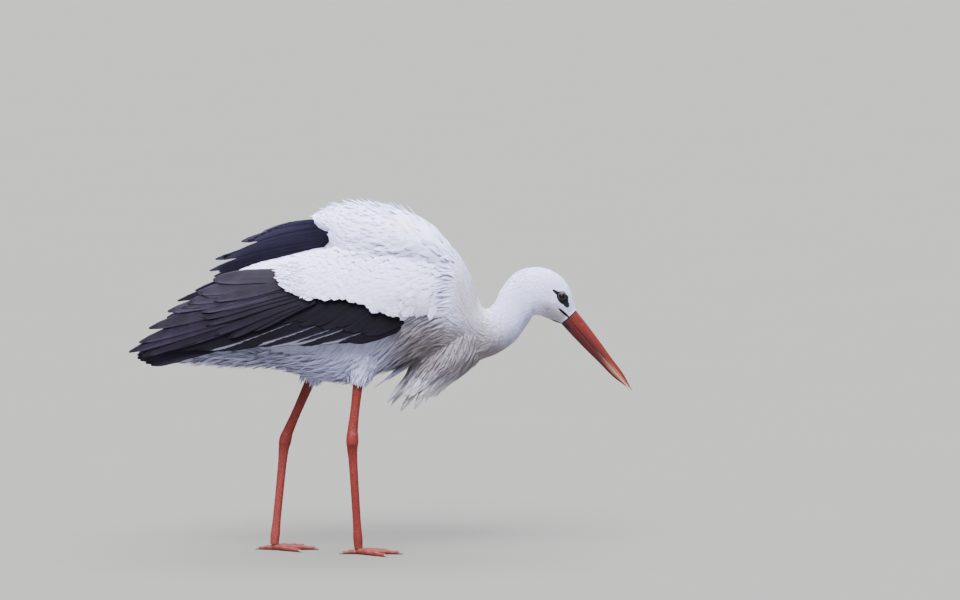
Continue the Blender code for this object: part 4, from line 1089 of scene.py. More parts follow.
def shell(surface, turn, depth, u_span, rows, sides, v_span=(0.0, 1.0), close=None):
    """A closed skin form: the surface sunk by depth, closed by fans at both ends. On an
    open surface `close` gives the points that lead from its last edge to its first."""
    u = np.linspace(*u_span, rows)
    v = v_span[0] + (v_span[1] - v_span[0]) * np.arange(sides) / (sides - bool(close))
    points, _, _, normal = around(surface, turn, u[:, None] + 0 * v, v[None, :] + 0 * u[:, None])
    points = points - normal * depth
    if close:
        points = np.concatenate([points, close(points)], axis=1)
    return closed_tube(points)


def outside(leg, word):
    """A point of the leg's table, with +Y outwards on the leg's own side."""
    return np.array(leg[word]) * (1.0, leg["side"], 1.0)


def thigh(leg):
    """Surface of the feathered thigh."""
    return limb([outside(leg, "thigh_top"), outside(leg, "thigh_end")], THIGH_RADII, 0.72)


def make_skin():
    """One skin for trunk, neck, head, mantle, ruff, vent, thighs and folded arms."""
    def under(points):
        """Closes the hump on a level floor."""
        return points[:, ::-1] * (1.0, 1.0, 0.0) + (0.0, 0.0, MANTLE_FLOOR - 0.03)

    forms = [body_skin(),
             shell(arch(MANTLE), 1.0, 0.0048, (0.20, 0.88), rows=32, sides=41, close=under),
             shell(egg(RUFF), -1.0, 0.0070, (0.02, 0.58), rows=24, sides=48),
             shell(egg(VENT), -1.0, 0.0045, (0.02, 0.80), rows=20, sides=36)]
    for leg in LEGS:
        forms.append(shell(thigh(leg), -1.0, 0.0030, (0.0, 0.90), rows=20, sides=32))
    for wing, end in ((RIGHT_WING, 0.90), (LEFT_WING, 0.66)):
        side = wing["side"]
        forms.append(shell(panel(side, wing["panel_top"], wing["panel_low"]), side, 0.0036,
                           (0.03, end), rows=30, sides=17, v_span=(0.06, 0.90),
                           close=lambda points, side=side:
                           points[:, ::-1] - np.array((0.0, side * ARM_THICKNESS, 0.0))))
    placed(union("skin", forms, skin_finish()), "white_feather", "trunk", "neck_lower",
           "neck_upper", "head", "mantle", "ruff", "vent", "thigh_left", "thigh_right",
           "wing_left_coverts", "wing_right_coverts")


# ---------------------------------------------------------------- head
def both_eyes(ring):
    """Rings worked out round one eye's centre, moved to the (word, rings) of each eye."""
    for word, side in (("right", -1.0), ("left", 1.0)):
        yield word, ring * (1.0, side, 1.0) + np.array(EYE_CENTRE) * (1.0, side, 1.0)


def ball(polar, turn, reach):
    """Points of a ball: reach * (sin(polar) cos(turn), cos(polar), sin(polar) sin(turn))."""
    return np.stack([np.sin(polar) * np.cos(turn), np.cos(polar) + 0 * turn,
                     np.sin(polar) * np.sin(turn)], axis=-1) * reach[..., None]


def make_eyes():
    """Eyeballs with a raised cornea: their radius is the eye's - 0.2 mm + 0.7 mm *
    exp(-(angle / 0.55)^2), with the angle from the middle of the cornea."""
    finish = eye_finish()
    polar = np.linspace(0.02, math.pi - 0.02, 40)[:, None]
    reach = EYE_RADIUS + 0.0007 * np.exp(-(polar / 0.55) ** 2) - 0.0002
    ring = ball(polar, round_angles(48), reach)
    for word, rings in both_eyes(ring):
        eye = mesh_piece("eyeball_" + word, *closed_tube(rings), finish)
        placed(eye, "eye", "eye_" + word)


def make_lids():
    """Eyelids: a ring round each eye. Its section is a closed loop: out over the eyeball
    from the opening to the socket, and back beneath. The opening's polar angle is
    0.60 rad across and 0.515 rad up and down."""
    f = Finish("eyelid", Roughness=0.42, Specular_IOR_Level=0.4)
    fold = f.cells(f.place(), 1100.0)
    finish = f.done(f.mix(fold, colours().bare, (0.013, 0.012, 0.014)), 0.40 + 0.2 * fold,
                    f.bump(fold, 0.0003))
    turn = round_angles(LID_SIDES)[:, None]
    loop = np.linspace(0.0, TURN, LID_EDGE, endpoint=False)
    opening = 0.60 - 0.085 * np.sin(turn) ** 2
    out = (1 - np.cos(loop)) / 2
    polar = opening + (1.22 - opening) * out
    reach = EYE_RADIUS + 0.00055 + 0.00050 * np.sin(loop) + 0.00035 * np.exp(-(out / 0.12) ** 2)
    reach = reach - 0.0012 * ease(out, 0.55, 1.0)
    total = LID_SIDES * LID_EDGE
    quads = grid_faces(LID_SIDES + 1, LID_EDGE, True) % total
    (_, right), (_, left) = both_eyes(ball(polar, turn, reach[None]))
    lids = mesh_piece("eyelids", np.vstack([right.reshape(-1, 3), left.reshape(-1, 3)]),
                      np.vstack([quads[:, ::-1], quads + total]), np.zeros((0, 3)), finish)
    placed(lids, "eye")


def bill_rings(upper):
    """Rings of one half of the bill, with their vane marks.

    Edge and middle lines run straight from base to tip with a slight bow. For angle a
    from 0 to pi the section is middle + (edge - middle) * sin(a)^0.85, or ^0.78 below, in
    side view and width * cos(a) across; the cutting side closes it with a shallow hollow.
    The upper half has a nostril and a groove behind it, the lower half one long groove.
    """
    s = np.concatenate([[-0.05, -0.02], np.linspace(0.0, 1.0, 78)])
    held = np.clip(s, 0.0, 1.0)
    base, tip = ((BILL_BASE_TOP, BILL_TIP) if upper else (BILL_BASE_LOW, BILL_TIP_LOW))
    way = unit(np.array(BILL_TIP) - np.array(BILL_BASE_MID))
    away = np.array((-way[1], way[0])) * (1.0 if upper else -1.0)
    edge, middle = (np.array(start) + (np.array(tip) - np.array(start)) * s[:, None]
                    for start in (base, BILL_BASE_MID))
    fullness = (0.0034 * np.clip(np.sin(held * math.pi), 0.0, 1.0) ** 0.9
                + 0.0024 * np.exp(-((held - 0.80) / 0.15) ** 2))
    edge = edge + away * fullness[:, None]
    middle = middle + away * (0.00015 + 0.5 * BILL_OPENING * held)[:, None]
    width = (BILL_HALF_WIDTH * (0.10 + 0.90 * (1 - held) ** 0.92)
             * ease(1.012 - s, 0.0, 0.035) ** 0.5)
    a = np.linspace(0.0, math.pi, 33)[None, :]
    rise = np.sin(a) ** (0.85 if upper else 0.78)
    pinch = 1.0 - 0.10 * np.sin(a) ** 6 if upper else 1.0
    across = width[:, None] * np.cos(a) * pinch
    ends = ease(1.012 - s, 0.0, 0.03)[:, None] ** 0.5
    flat = middle[:, None] + (edge - middle)[:, None] * (rise * ends)[..., None]
    s, low = s[:, None], np.minimum(a, math.pi - a)
    if upper:
        nostril = np.exp(-((s - 0.118) / 0.034) ** 2) ** 2 * np.exp(-((low - 0.66) / 0.085) ** 2)
        groove = np.exp(-((low - 0.66) / 0.10) ** 2)
        run = ease(s, 0.10, 0.20) * (1 - ease(s, 0.35, 0.75))
        across = across - np.sign(across) * (0.0017 * nostril + 0.00035 * groove * run)
    else:
        groove = np.exp(-((low - 0.50) / 0.12) ** 2)
        across = across - np.sign(across) * 0.0003 * groove * (1 - ease(s, 0.30, 0.8))
    ring = np.stack([flat[..., 0], across, flat[..., 1]], axis=-1)
    back = np.linspace(-1.0, 1.0, 9)[1:-1]
    floor = (ring[:, -1:] * 0.5 + ring[:, :1] * 0.5
             + (ring[:, :1] - ring[:, -1:]) / 2 * back[None, :, None])
    floor[..., (0, 2)] += away * 0.0004 * (1 - back ** 2)[None, :, None]
    rings = np.concatenate([ring, floor], axis=1)
    vane = stacked(rings.shape[:2], np.concatenate([np.cos(a[0]), back]), s, float(upper))
    return rings, vane.reshape(-1, 3)


def make_bill():
    """Both halves of the bill."""
    finish = bill_finish()
    for word, upper in (("upper", True), ("lower", False)):
        rings, vane = bill_rings(upper)
        made = mesh_piece("horn_" + word, *closed_tube(rings), finish,
                          np.vstack([vane, vane[:1], vane[-1:]]))
        placed(made, "bill_horn", "bill_" + word)


# ---------------------------------------------------------------- coat
BLADES = 27                 # blades in one long plume of the ruff
EDGE_COVERTS = 17           # feathers in the lowest row of a white panel
# Feathers over each shoulder: spacings, span of u, length, width, slant and shape.
SHOULDER = ((0.0080, 0.0048), (6.9 / ROWS, 8.4 / ROWS), 1.55, 0.55, 0.45,
            {"root": 0.0020, "tip": 0.0062, "uneven": 0.0012, "roll": 0.15})


def over_down(place):
    """cos(2 pi v) of root places: 1 on the left side, -1 on the right, 0 above and below."""
    return np.cos(place[1] * TURN)


def started(step):
    """The sizes, and the random numbers of one stage of the plumage."""
    return sizes(), np.random.default_rng(sizes().seed + step)


def make_trunk_coat():
    """Contour feathers of rump, breast, flanks and belly."""
    z, rng = started(0)
    surface = egg(BODY, BODY_POWER)
    place = rooted(surface, 0.0062, 0.0056, rng, (0.012, NECK_ROW / ROWS))
    x, y, height = surface(*place).T
    # None grow where the folded wings and the hump lie over the trunk.
    covered = ((np.abs(y) > 0.035) & (height > 0.385) & (height < 0.50) & (x < 0.085)
               & (x > -0.20))
    covered |= (height > 0.515) & (x > -0.085) & (x < 0.115)
    place, height = place[:, ~covered], height[~covered]
    row = place[0] * ROWS
    low = ease(height, 0.40, 0.33)
    rump = ease(height, 0.42, 0.46)
    length = z.back_length * (1.0 - 0.30 * ease(row, 6.8, 8.6)) * (1 + 0.15 * low)
    width = z.back_width * (1.0 - 0.55 * ease(row, 5.5, 8.6))
    lean = -over_down(place) * (0.55 * ease(row, 5.4, 8.0) + 0.36 * low)
    tip = 0.0003 + 0.0010 * low + 0.0010 * rump
    front = row > 6.1
    batches = [small_feathers(surface, 1.0, place[:, part], length[part] * reach,
                              width[part] * wide, rng, form=form, lean=lean[part], root=0.0020,
                              tip=tip[part], yaw=0.10, roll=0.10)
               for part, form, reach, wide in ((~front, CONTOUR, 1.0, 1.0),
                                               (front, LANCE, 1.55, 0.80))]
    # Loose feathers of the belly, its ragged hem, then the cover of each shoulder.
    for gaps, u_span, v_span, longer, wider, steep, rest in (
            ((0.0105, 0.0085), (0.20, 0.42), (0.52, 0.98), 1.45, 0.75, 0.75,
             {"root": 0.0030, "tip": 0.0036, "yaw": 0.16, "roll": 0.22}),
            ((0.0085, 0.0075), (0.10, 0.43), (0.60, 0.90), 1.60, 0.62, 0.50,
             {"root": 0.0020, "tip": 0.0085, "uneven": 0.0030, "bow": 0.001, "yaw": 0.20,
              "roll": 0.25}),
            (*SHOULDER[:2], (0.36, 0.66), *SHOULDER[2:]),
            (*SHOULDER[:2], (-0.16, 0.14), *SHOULDER[2:])):
        place = rooted(surface, *gaps, rng, u_span, v_span)
        batches.append(small_feathers(surface, 1.0, place, z.back_length * longer,
                                      z.back_width * wider, rng,
                                      lean=-steep * over_down(place), **rest))
    coat_piece("coat_trunk", batches, plumage_finish("plumage_body"))


def make_mantle_coat():
    """Long loose feathers over the hump of mantle and shoulders, ragged behind.

    A feather is kept where its tip stays in front of the hump's rear edge.
    """
    z, rng = started(1)
    hump = arch(MANTLE)

    def held(place, length):
        slope = np.linalg.norm(around(hump, 1.0, *place)[1], axis=1)
        tips = hump(place[0] - length / slope, place[1])
        rear = np.where(tips[:, 2] > REAR_EDGE["height"], REAR_EDGE["above"], REAR_EDGE["below"])
        return tips[:, 0] > rear + rng.uniform(-0.005, 0.004, len(rear))

    batches = []
    for gap, reach, wide, form, root, tip, yaw in (
            (0.0070, 1.0, 1.0, CONTOUR, 0.0038, 0.0, 0.09),
            (0.0100, 0.85, 0.55, LANCE, 0.0030, 0.0022, 0.16)):
        place = rooted(hump, gap, gap, rng, (0.10, 1.0), (-0.01, 1.01))
        length = z.mantle_length * reach * (0.80 + 0.20 * ease(place[0], 0.7, 0.3))
        keep = held(place, length)
        if form is LANCE:
            keep &= place[0] < 0.60
        place, length = place[:, keep], length[keep]
        rear = ease(place[0], 0.55, 0.25)
        batches.append(small_feathers(
            hump, 1.0, place, length, z.mantle_width * wide, rng, form=form, root=root,
            lean=(place[1] - 0.5) * 0.50 * (1 - rear), tip=tip + 0.0014 * rear, yaw=yaw,
            thick=1.1, roll=0.06, camber=0.12))
    for gap, u_span, v_span, length, wide, root, tip, bow in (
            (0.0078, (0.22, 0.62), (0.30, 0.70), 1.15, 0.70, 0.0050, 0.0040, -0.0012),
            (0.0140, (0.16, 0.70), (0.38, 0.62), 0.82, 0.62, 0.0040, 0.0095, -0.0010),
            (0.0070, (0.20, 0.34), (0.18, 0.82), 1.05, 1.00, 0.0100, -0.0050, 0.0),
            (0.0085, (0.30, 0.95), (0.03, 0.11), 0.90, 0.90, 0.0020, 0.0042, 0.0),
            (0.0085, (0.30, 0.95), (0.89, 0.97), 0.90, 0.90, 0.0020, 0.0042, 0.0)):
        place = rooted(hump, gap, gap, rng, u_span, v_span)
        place = place[:, held(place, z.mantle_length * length)]
        batches.append(small_feathers(
            hump, 1.0, place, z.mantle_length * length, z.mantle_width * wide, rng, root=root,
            tip=tip, bow=bow, uneven=0.15 * abs(tip), yaw=0.12, roll=0.14, thick=1.1))
    slope = arch(SLOPE)
    place = rooted(slope, 0.0070, 0.0075, rng, (0.22, 1.0), (0.02, 0.98))
    batches.append(small_feathers(slope, 1.0, place, z.back_length, z.mantle_width * 0.8, rng,
                                  form=CONTOUR, root=0.0030, tip=0.0012, yaw=0.12, roll=0.10))
    coat_piece("coat_mantle", batches, plumage_finish("plumage_mantle"))


def narrowing(gap, less, start, end):
    """A spacing as a function of u: gap, and by row `end` of the body `less` smaller."""
    return lambda u: gap - less * ease(np.asarray(u) * ROWS, start, end)


def make_neck_coat():
    """Narrow neck feathers, passing into long streaked plumes on the throat's front."""
    z, rng = started(2)
    surface = egg(BODY, BODY_POWER)
    gap = narrowing(0.0042, 0.0012, 10.5, 14.5)
    place = rooted(surface, gap, lambda u: gap(u) * 0.82, rng,
                   ((NECK_ROW - 0.3) / ROWS, (HEAD_ROW + 0.2) / ROWS))
    row = place[0] * ROWS
    front = ease(-np.sin(place[1] * TURN), -0.25, 0.55) * (1 - ease(row, 12.0, 14.4))
    scale = 1 - 0.42 * ease(row, 11.0, 14.8)
    neck = small_feathers(surface, 1.0, place, z.neck_length * scale * (1 + 1.5 * front),
                          z.neck_width * scale * (1 + 0.15 * front), rng, root=0.0019,
                          tip=0.0003 + 0.0014 * front, lean=-0.42 * over_down(place) * front,
                          thick=0.7, yaw=0.07, roll=0.12)
    place = rooted(surface, 0.0100, 0.0046, rng, (7.9 / ROWS, 11.6 / ROWS), (0.56, 0.94))
    plumes = small_feathers(surface, 1.0, place, z.neck_length * 2.5, z.neck_width * 1.35, rng,
                            root=0.0015, tip=0.0060, uneven=0.0018, yaw=0.10, roll=0.25,
                            lean=-0.35 * over_down(place))
    coat_piece("coat_neck", [neck, plumes], plumage_finish("plumage_neck"))


def make_head_coat():
    """Very small sleek feathers on the head, none on the bare face skin."""
    z, rng = started(3)
    surface = egg(BODY, BODY_POWER)
    gap = narrowing(0.0021, 0.0006, 15.5, 18.0)
    place = rooted(surface, gap, lambda u: gap(u) * 0.80, rng, (HEAD_ROW / ROWS, 0.998))
    points = surface(*place)
    clear = np.all([oval(points[:, 0] + SHIFT[0], points[:, 2] + SHIFT[2], *mark) >= 1.0
                    for mark in FACE_MARKS], axis=0)
    place, points = place[:, clear], points[clear]
    row = place[0] * ROWS
    relief = face_relief(points) * ease(row, 15.0, 16.0)
    scale = 1 - 0.40 * ease(row, 16.0, 18.6)
    depth = body_depth(row)
    batch = small_feathers(surface, 1.0, place, z.head_length * scale, z.head_width * scale, rng,
                           form=TUFT, root=depth + 0.0004 - relief, tip=0.00035 - depth + relief,
                           thick=0.45, yaw=0.10, roll=0.18)
    coat_piece("coat_head", [batch], plumage_finish("plumage_head", 1.6))


def make_ruff_coat():
    """Hanging breast plumes: long lances over the ruff, with separate drooping locks."""
    z, rng = started(4)
    surface = egg(RUFF)
    place = rooted(surface, 0.0072, 0.0035, rng, (-0.12, 0.57))
    grown = ease(place[0], -0.10, 0.30)
    wave = 0.16 * np.sin(place[1] * 40.0 + place[0] * 9.0) * grown
    batch = small_feathers(surface, -1.0, place, z.plume_length * (0.60 + 0.50 * grown),
                           z.plume_width * 0.85, rng, run=1.0, lean=wave,
                           root=0.0018 + 0.0042 * ease(place[0], 0.10, 0.45), tip=0.0014,
                           uneven=0.0022, yaw=0.08, roll=0.25, camber=0.15)
    locks = [lock(np.array(row[:3]), np.array(row[3:]), z.plume_width * 1.35, rng)
             for row in PLUMES]
    coat_piece("coat_ruff", [batch, *locks], plumage_finish("plumage_ruff"), "cream_plume")


def lock(root, tip, width, rng):
    """One long plume: narrow blades that start side by side and meet at its tip.

    They lie round the line root + (tip - root) u, which sags by 6 mm * sin(pi u), at
    12 mm * (1 - u)^0.6 from it, half of that in x.
    """
    way = tip - root

    def surface(u, v):
        swell = 0.0120 * np.clip(1 - u, 0, 2) ** 0.6 + 0.0006
        angle = v * TURN
        bow = np.sin(np.clip(u, 0, 1) * math.pi) * 0.006
        return np.stack([root[0] + way[0] * u + swell * 0.5 * np.sin(angle) - bow * 0.7,
                         root[1] + way[1] * u + swell * np.cos(angle),
                         root[2] + way[2] * u - bow], axis=-1)
    place = np.stack([rng.uniform(-0.45, 0.25, BLADES), rng.uniform(0, 1, BLADES)])
    reach = np.linalg.norm(way) * (1.0 - place[0]) * rng.uniform(0.86, 1.02, BLADES)
    return small_feathers(surface, -1.0, place, reach, width, rng, run=1.0, root=0.0005,
                          tip=0.0002, yaw=0.02, roll=0.25, region=(0.05, 0.05, 0.9, 0.9))


def make_vent_coat():
    """Soft grey-white under-tail coverts with ragged ends."""
    z, rng = started(5)
    surface = egg(VENT)
    place = rooted(surface, 0.0080, 0.0058, rng, (0.0, 0.98))
    under = ease(-np.sin(place[1] * TURN), 0.0, 0.8)
    batch = small_feathers(surface, -1.0, place, z.back_length * 1.55, z.back_width * 0.75, rng,
                           run=1.0, root=0.0030, tip=0.0012 + 0.0075 * under, uneven=0.0040,
                           yaw=0.13, roll=0.2)
    coat_piece("coat_vent", [batch], plumage_finish("plumage_vent"))


def make_thigh_coat():
    """Downy thigh feathers, hanging a little free at the lower end."""
    z, rng = started(6)
    batches = []
    for leg, low in zip(LEGS, (0.0, 0.5)):
        surface = thigh(leg)
        place = rooted(surface, 0.0050, 0.0042, rng, (-0.05, 0.74))
        batches.append(small_feathers(
            surface, -1.0, place, z.back_length, z.back_width * 0.62, rng, run=1.0,
            root=0.0024, tip=0.0010 + 0.0070 * ease(place[0], 0.25, 0.8), uneven=0.0025,
            yaw=0.20, roll=0.25, region=(0.0, low, 1.0, 0.48)))
    coat_piece("coat_thighs", batches, plumage_finish("plumage_thighs"))


def make_covert_coat(wing, step):
    """White wing coverts in rows that grow towards the scalloped lower edge."""
    z, rng = started(step)
    side = wing["side"]
    surface = panel(side, wing["panel_top"], wing["panel_low"], True)
    place = rooted(surface, 0.0080, 0.0068, rng, (-0.01, 0.93), (-0.06, 0.78))
    grown = 0.62 + 0.38 * ease(place[1], 0.15, 0.70) * ease(place[0], 0.0, 0.25)
    rows = small_feathers(surface, side, place, z.covert_length * grown, z.covert_width * grown,
                          rng, form=CONTOUR, run=1.0, lean=0.34 + 0.20 * place[1],
                          root=0.0014 + 0.0010 * ease(place[0], 0.0, 0.30), tip=0.0003,
                          thick=1.2, yaw=0.09, roll=0.06, camber=0.12)
    place = np.stack([np.linspace(0.03, 0.95, EDGE_COVERTS), np.full(EDGE_COVERTS, 0.66)])
    place[0] += rng.uniform(-0.008, 0.008, EDGE_COVERTS)
    edge = small_feathers(surface, side, place, z.covert_length * 1.05, z.covert_width * 1.45,
                          rng, form=CONTOUR, run=1.0, lean=0.80, root=0.003, tip=0.0010,
                          thick=1.3, yaw=0.07, roll=0.05, camber=0.14)
    place = rooted(surface, 0.0060, 0.0040, rng, (0.80, 1.0))
    tuft = small_feathers(surface, side, place, z.covert_length * 0.80, z.covert_width * 0.36,
                          rng, run=1.0, lean=0.42, root=0.003, tip=0.0026, uneven=0.0012,
                          yaw=0.30, roll=0.20)

    def inner(u, v):
        return surface(u, v) - np.array((0.0, side * LINING_DEPTH, 0.0))

    place = rooted(inner, 0.0120, 0.0100, rng, (0.20, 0.50), (0.05, 0.90))
    lining = small_feathers(inner, -side, place, z.covert_length, z.covert_width, rng,
                            form=CONTOUR, run=1.0, lean=0.30, root=0.0010, tip=0.0010)
    coat_piece("coat_coverts_" + wing["word"], [rows, edge, tuft, lining],
               plumage_finish("plumage_coverts_" + wing["word"]))


# ---------------------------------------------------------------- wings and tail
def make_wing(wing, step):
    """The black feathers of one folded wing: tertials, secondaries, coverts, primaries."""
    _, rng = started(step)
    word, side = wing["word"], wing["side"]
    black = flight_finish("tertial_feathers_" + word, 1.0)
    sleek = flight_finish("covert_feathers_" + word, 0.30)
    silver = flight_finish("secondary_feathers_" + word, 0.45, True)
    # The right wing's tertials lie in two layers; the left one's show their inner faces.
    worn = {"quill": 0.05, "blunt": 1.5, "tuck": 0.0014}
    if side < 0:
        batch = gathered([
            wing_vanes(side, wing["tertial_root"], wing["tertial_tip"], 13, 0.0120, 0.0036, rng,
                       bend=0.004, wild=0.0045, **worn),
            wing_vanes(side, wing["tertial_root"], TERTIAL_SHORT_TIP, 11, 0.0098, 0.0014, rng,
                       bend=0.003, wild=0.0070, **worn)])
    else:
        count = 16
        batch = wing_vanes(side, wing["tertial_root"], wing["tertial_tip"], count, 0.0105,
                           0.0012, rng, bow=0.003, bend=0.004, wild=0.0045, **worn)
        # painted light: these inner faces are marked to be painted lighter
        batch[3].reshape(count, 2, -1, 3)[:, 1, :, 2] = INNER_FACE
    vane_piece("tertials_" + word, batch, black, "black_feather", f"wing_{word}_tertials")
    chance = np.where(np.isin(np.arange(SECONDARIES), SILVER_VANES), 0.9, 0.1)
    batch = wing_vanes(side, wing["secondary_root"], wing["secondary_tip"], SECONDARIES, 0.0135,
                       0.0064, rng, chance=chance, bend=-0.004, quill=0.08, wild=0.0015)
    vane_piece("secondaries_" + word, batch, silver, "black_feather", f"wing_{word}_secondaries")
    batch = wing_vanes(side, wing["covert_root"], wing["covert_tip"], 13, 0.0130, 0.0054, rng,
                       thick=0.6, bend=-0.002, quill=0.05, wild=0.0030)
    vane_piece("greater_coverts_" + word, batch, sleek, "black_feather")
    batch = wing_vanes(side, PRIMARY_ROOT, PRIMARY_TIP, 6, 0.0095, 0.0140, rng, bend=0.002)
    vane_piece("primaries_" + word, batch, black, "black_feather", f"wing_{word}_primaries")


def make_tail():
    """Twelve tail feathers, fanned a little, with the middle pair on top.

    The middle line of each runs straight from root to tip at y = share * 0.72 * the
    tail's half width; a point across it adds c * its half width, crowned by 1 - c^2.
    """
    z, rng = started(9)
    count = 12
    share = np.linspace(-1.0, 1.0, count)
    s, c = np.linspace(0.0, 1.0, 14), np.linspace(-1.0, 1.0, 7)
    half = 0.0105 * vane_outline(s, rng, count, 3.0)
    way = np.array(TAIL_TIP) - np.array(TAIL_ROOT)
    reach = rng.uniform(0.97, 1.0, count) * (1 - 0.04 * share ** 2)
    step = s[None, :] * reach[:, None]
    rise = 0.006 * (1 - share ** 2) - 0.0048 * np.abs(share)
    x = (TAIL_ROOT[0] + way[0] * step)[:, :, None] + 0 * c
    y = share[:, None, None] * TAIL_HALF_WIDTH * 0.72 + half[..., None] * c
    flat = (TAIL_ROOT[1] + way[1] * step + rise[:, None])[:, :, None]
    crown = 0.08 * half[..., None] * (1 - c ** 2) + 0.0003 * np.exp(-(c / 0.1) ** 2)
    tuck = 0.0008 * c * np.sign(share)[:, None, None]
    top = np.stack([x, y, flat + crown - tuck], axis=-1)
    low = top.copy()
    low[..., 2] -= (z.vane_thickness * (1 - 0.6 * s))[None, :, None]
    vane = stacked(x.shape, c, s[:, None], rng.uniform(0, 1, count)[:, None, None])
    places = np.stack([0.5 + 0.45 * share, np.full(count, 0.5)], axis=1)
    vane_piece("tail_feathers", plates(top, low, vane.reshape(count, -1, 3), places),
               plumage_finish("tail_plumage"), "white_feather", "tail")


# ---------------------------------------------------------------- legs
def leg_tube(leg):
    """Bare leg from inside the thigh to the foot: rings square to a bent path.

    The radius runs smoothly through LEG_GIRTH. The section is an oval 0.88 as wide as it
    is long, times 1 + 0.10 cos(2a) at the hock's knob and 1 - 0.05 cos(3a) away from it.
    """
    top, hock, foot = (outside(leg, word) for word in ("thigh_end", "hock", "foot"))
    up, down = unit(top - hock), unit(foot - hock)
    knots = np.stack([top + up * 0.020, top, hock + up * 0.050, hock + up * 0.018,
                      hock + up * 0.006 + (0.0006, 0, 0), hock + down * 0.006 + (0.0008, 0, 0),
                      hock + down * 0.018, hock + down * 0.045, foot - down * 0.045,
                      foot - down * 0.014, foot + down * 0.004])
    share = np.linspace(0.0, 1.0, 170)
    path = along(knots, share)
    radius = along(np.array(LEG_GIRTH)[:, None], share)
    way = unit(np.gradient(path, axis=0))
    across = unit(np.cross(way, (1.0, 0.0, 0.0)))
    fore = np.cross(across, way)
    angle = round_angles(32)
    knob = np.exp(-((np.linalg.norm(path - hock, axis=1) - 0.004) / 0.012) ** 2)[:, None]
    shape = 1 + 0.10 * knob * np.cos(angle * 2) - 0.05 * (1 - knob) * np.cos(angle * 3)
    turned = (0.88 * np.cos(angle)[None, :, None] * across[:, None]
              + np.sin(angle)[None, :, None] * fore[:, None])
    return closed_tube(path[:, None] + (radius * shape)[..., None] * turned)


def toe_way(leg, word):
    """Direction of a toe on the floor."""
    turn = math.radians((leg["turn"] + TOES[word][0]) * leg["side"])
    return np.array((math.cos(turn), math.sin(turn), 0.0))


def sole(base, way, stations, width, height):
    """Rings of a form that lies on the floor.

    For angle a round the ring: across = width * cos(a), and z = height * (0.44 + 0.56
    sin(a)), flattened to the floor below it.
    """
    a = round_angles(24)
    across = np.array((-way[1], way[0], 0.0))
    middle = np.array((base[0], base[1], 0.0)) + way * stations[:, None]
    points = middle[:, None] + across * (width[:, None] * np.cos(a))[..., None]
    points[..., 2] += height[:, None] * np.clip(0.44 + 0.56 * np.sin(a), 0.0, 1.0)
    return points


def toe_rings(leg, word):
    """A toe: joint pads swell it by 9%, and scale ridges 3.4 mm apart by 3.5%."""
    length, _, girth = TOES[word][1:]
    joints = 2.0 if word == "hind" else 3.0
    s = np.linspace(0.0, 1.0, 90)
    swell = 1 + 0.09 * np.cos(s * joints * TURN)
    ridge = 1 + 0.035 * np.abs(np.sin(s * length / TOE_SCALE * math.pi)) * ease(s, 0.1, 0.25)
    width = girth * swell * np.interp(s, (0, 0.25, 0.9, 1.0), (1.10, 1.0, 0.72, 0.50))
    height = 2 * girth * swell * ridge * np.interp(s, (0, 0.3, 0.9, 1.0), (1.15, 0.92, 0.62, 0.50))
    return sole(outside(leg, "foot"), toe_way(leg, word), s * (length + 0.001), width, height)


def web_rings(leg, first, second):
    """The small web between two front toes: a thin wedge from the foot's root.

    It reaches 26 mm along the toes and 8.5 mm less between them, and thins from 8.5
    to 3.5 mm.
    """
    a, b = toe_way(leg, first), toe_way(leg, second)
    s, t = np.linspace(0.0, 1.0, 14), np.linspace(0.0, 1.0, 12)
    reach = WEB_REACH - WEB_DIP * np.sin(t * math.pi)
    way = unit(a[None] * (1 - t[:, None]) + b[None] * t[:, None])
    flat = outside(leg, "foot") * (1, 1, 0) + way[None] * (s[:, None] * reach)[..., None]
    top, low = flat.copy(), flat[:, ::-1].copy()
    top[..., 2] += (0.0085 - 0.0050 * s)[:, None]
    low[..., 2] += 0.0008
    return np.concatenate([top, low], axis=1)


def make_leg(leg, finish):
    """One bare leg from thigh to toes as a single skin."""
    word = leg["word"]
    forms = [leg_tube(leg)] + [closed_tube(toe_rings(leg, toe)) for toe in TOES]
    forms += [closed_tube(web_rings(leg, *toes)) for toes in (("inner", "middle"),
                                                              ("middle", "outer"))]
    placed(union("bare_leg_" + word, forms, finish), "red_leg_skin",
           *(f"{part}_{word}" for part in ("shin", "hock", "tarsus", "foot",
                                           *("toe_" + toe for toe in TOES))))


def make_claws():
    """Short blunt claws of both feet, on the floor: width and height run down from the
    toe's by sqrt(1 - s^2.2)."""
    batches, nodes = [], []
    s = np.linspace(0.0, 1.0, 16)
    slim = np.sqrt(np.clip(1 - s ** 2.2, 0.004, 1))
    for leg in LEGS:
        for toe, (_, length, claw, girth) in TOES.items():
            rings = sole(outside(leg, "foot"), toe_way(leg, toe),
                         length - CLAW_INSET + s * (claw + CLAW_INSET), girth * 0.60 * slim,
                         girth * (1.15 - 0.75 * s) * slim)
            batches.append(closed_tube(rings))
            nodes.append(f"claw_{toe}_{leg['word']}")
    placed(mesh_piece("claws", *gathered(batches), claw_finish()), "claw_horn", *nodes)


# ---------------------------------------------------------------- stage
FLOOR_REACH = 60.0
# Lights: name, place, angle of spread, power, tint. All face the bird's middle.
LAMPS = (("key", (-0.9, -2.6, 4.0), 35.0, 7.4, (0.965, 0.97, 1.0)),
         ("top", (0.2, -0.2, 4.8), 75.0, 13.5, (0.93, 0.945, 1.0)),
         ("fill", (3.2, -2.6, 1.6), 60.0, 0.35, (0.95, 0.97, 1.0)))
LIT_POINT = Vector((0.0, 0.0, 0.40))


def facing(way):
    """The turn that points a lamp or camera along a direction."""
    return way.to_track_quat("-Z", "Y").to_euler()


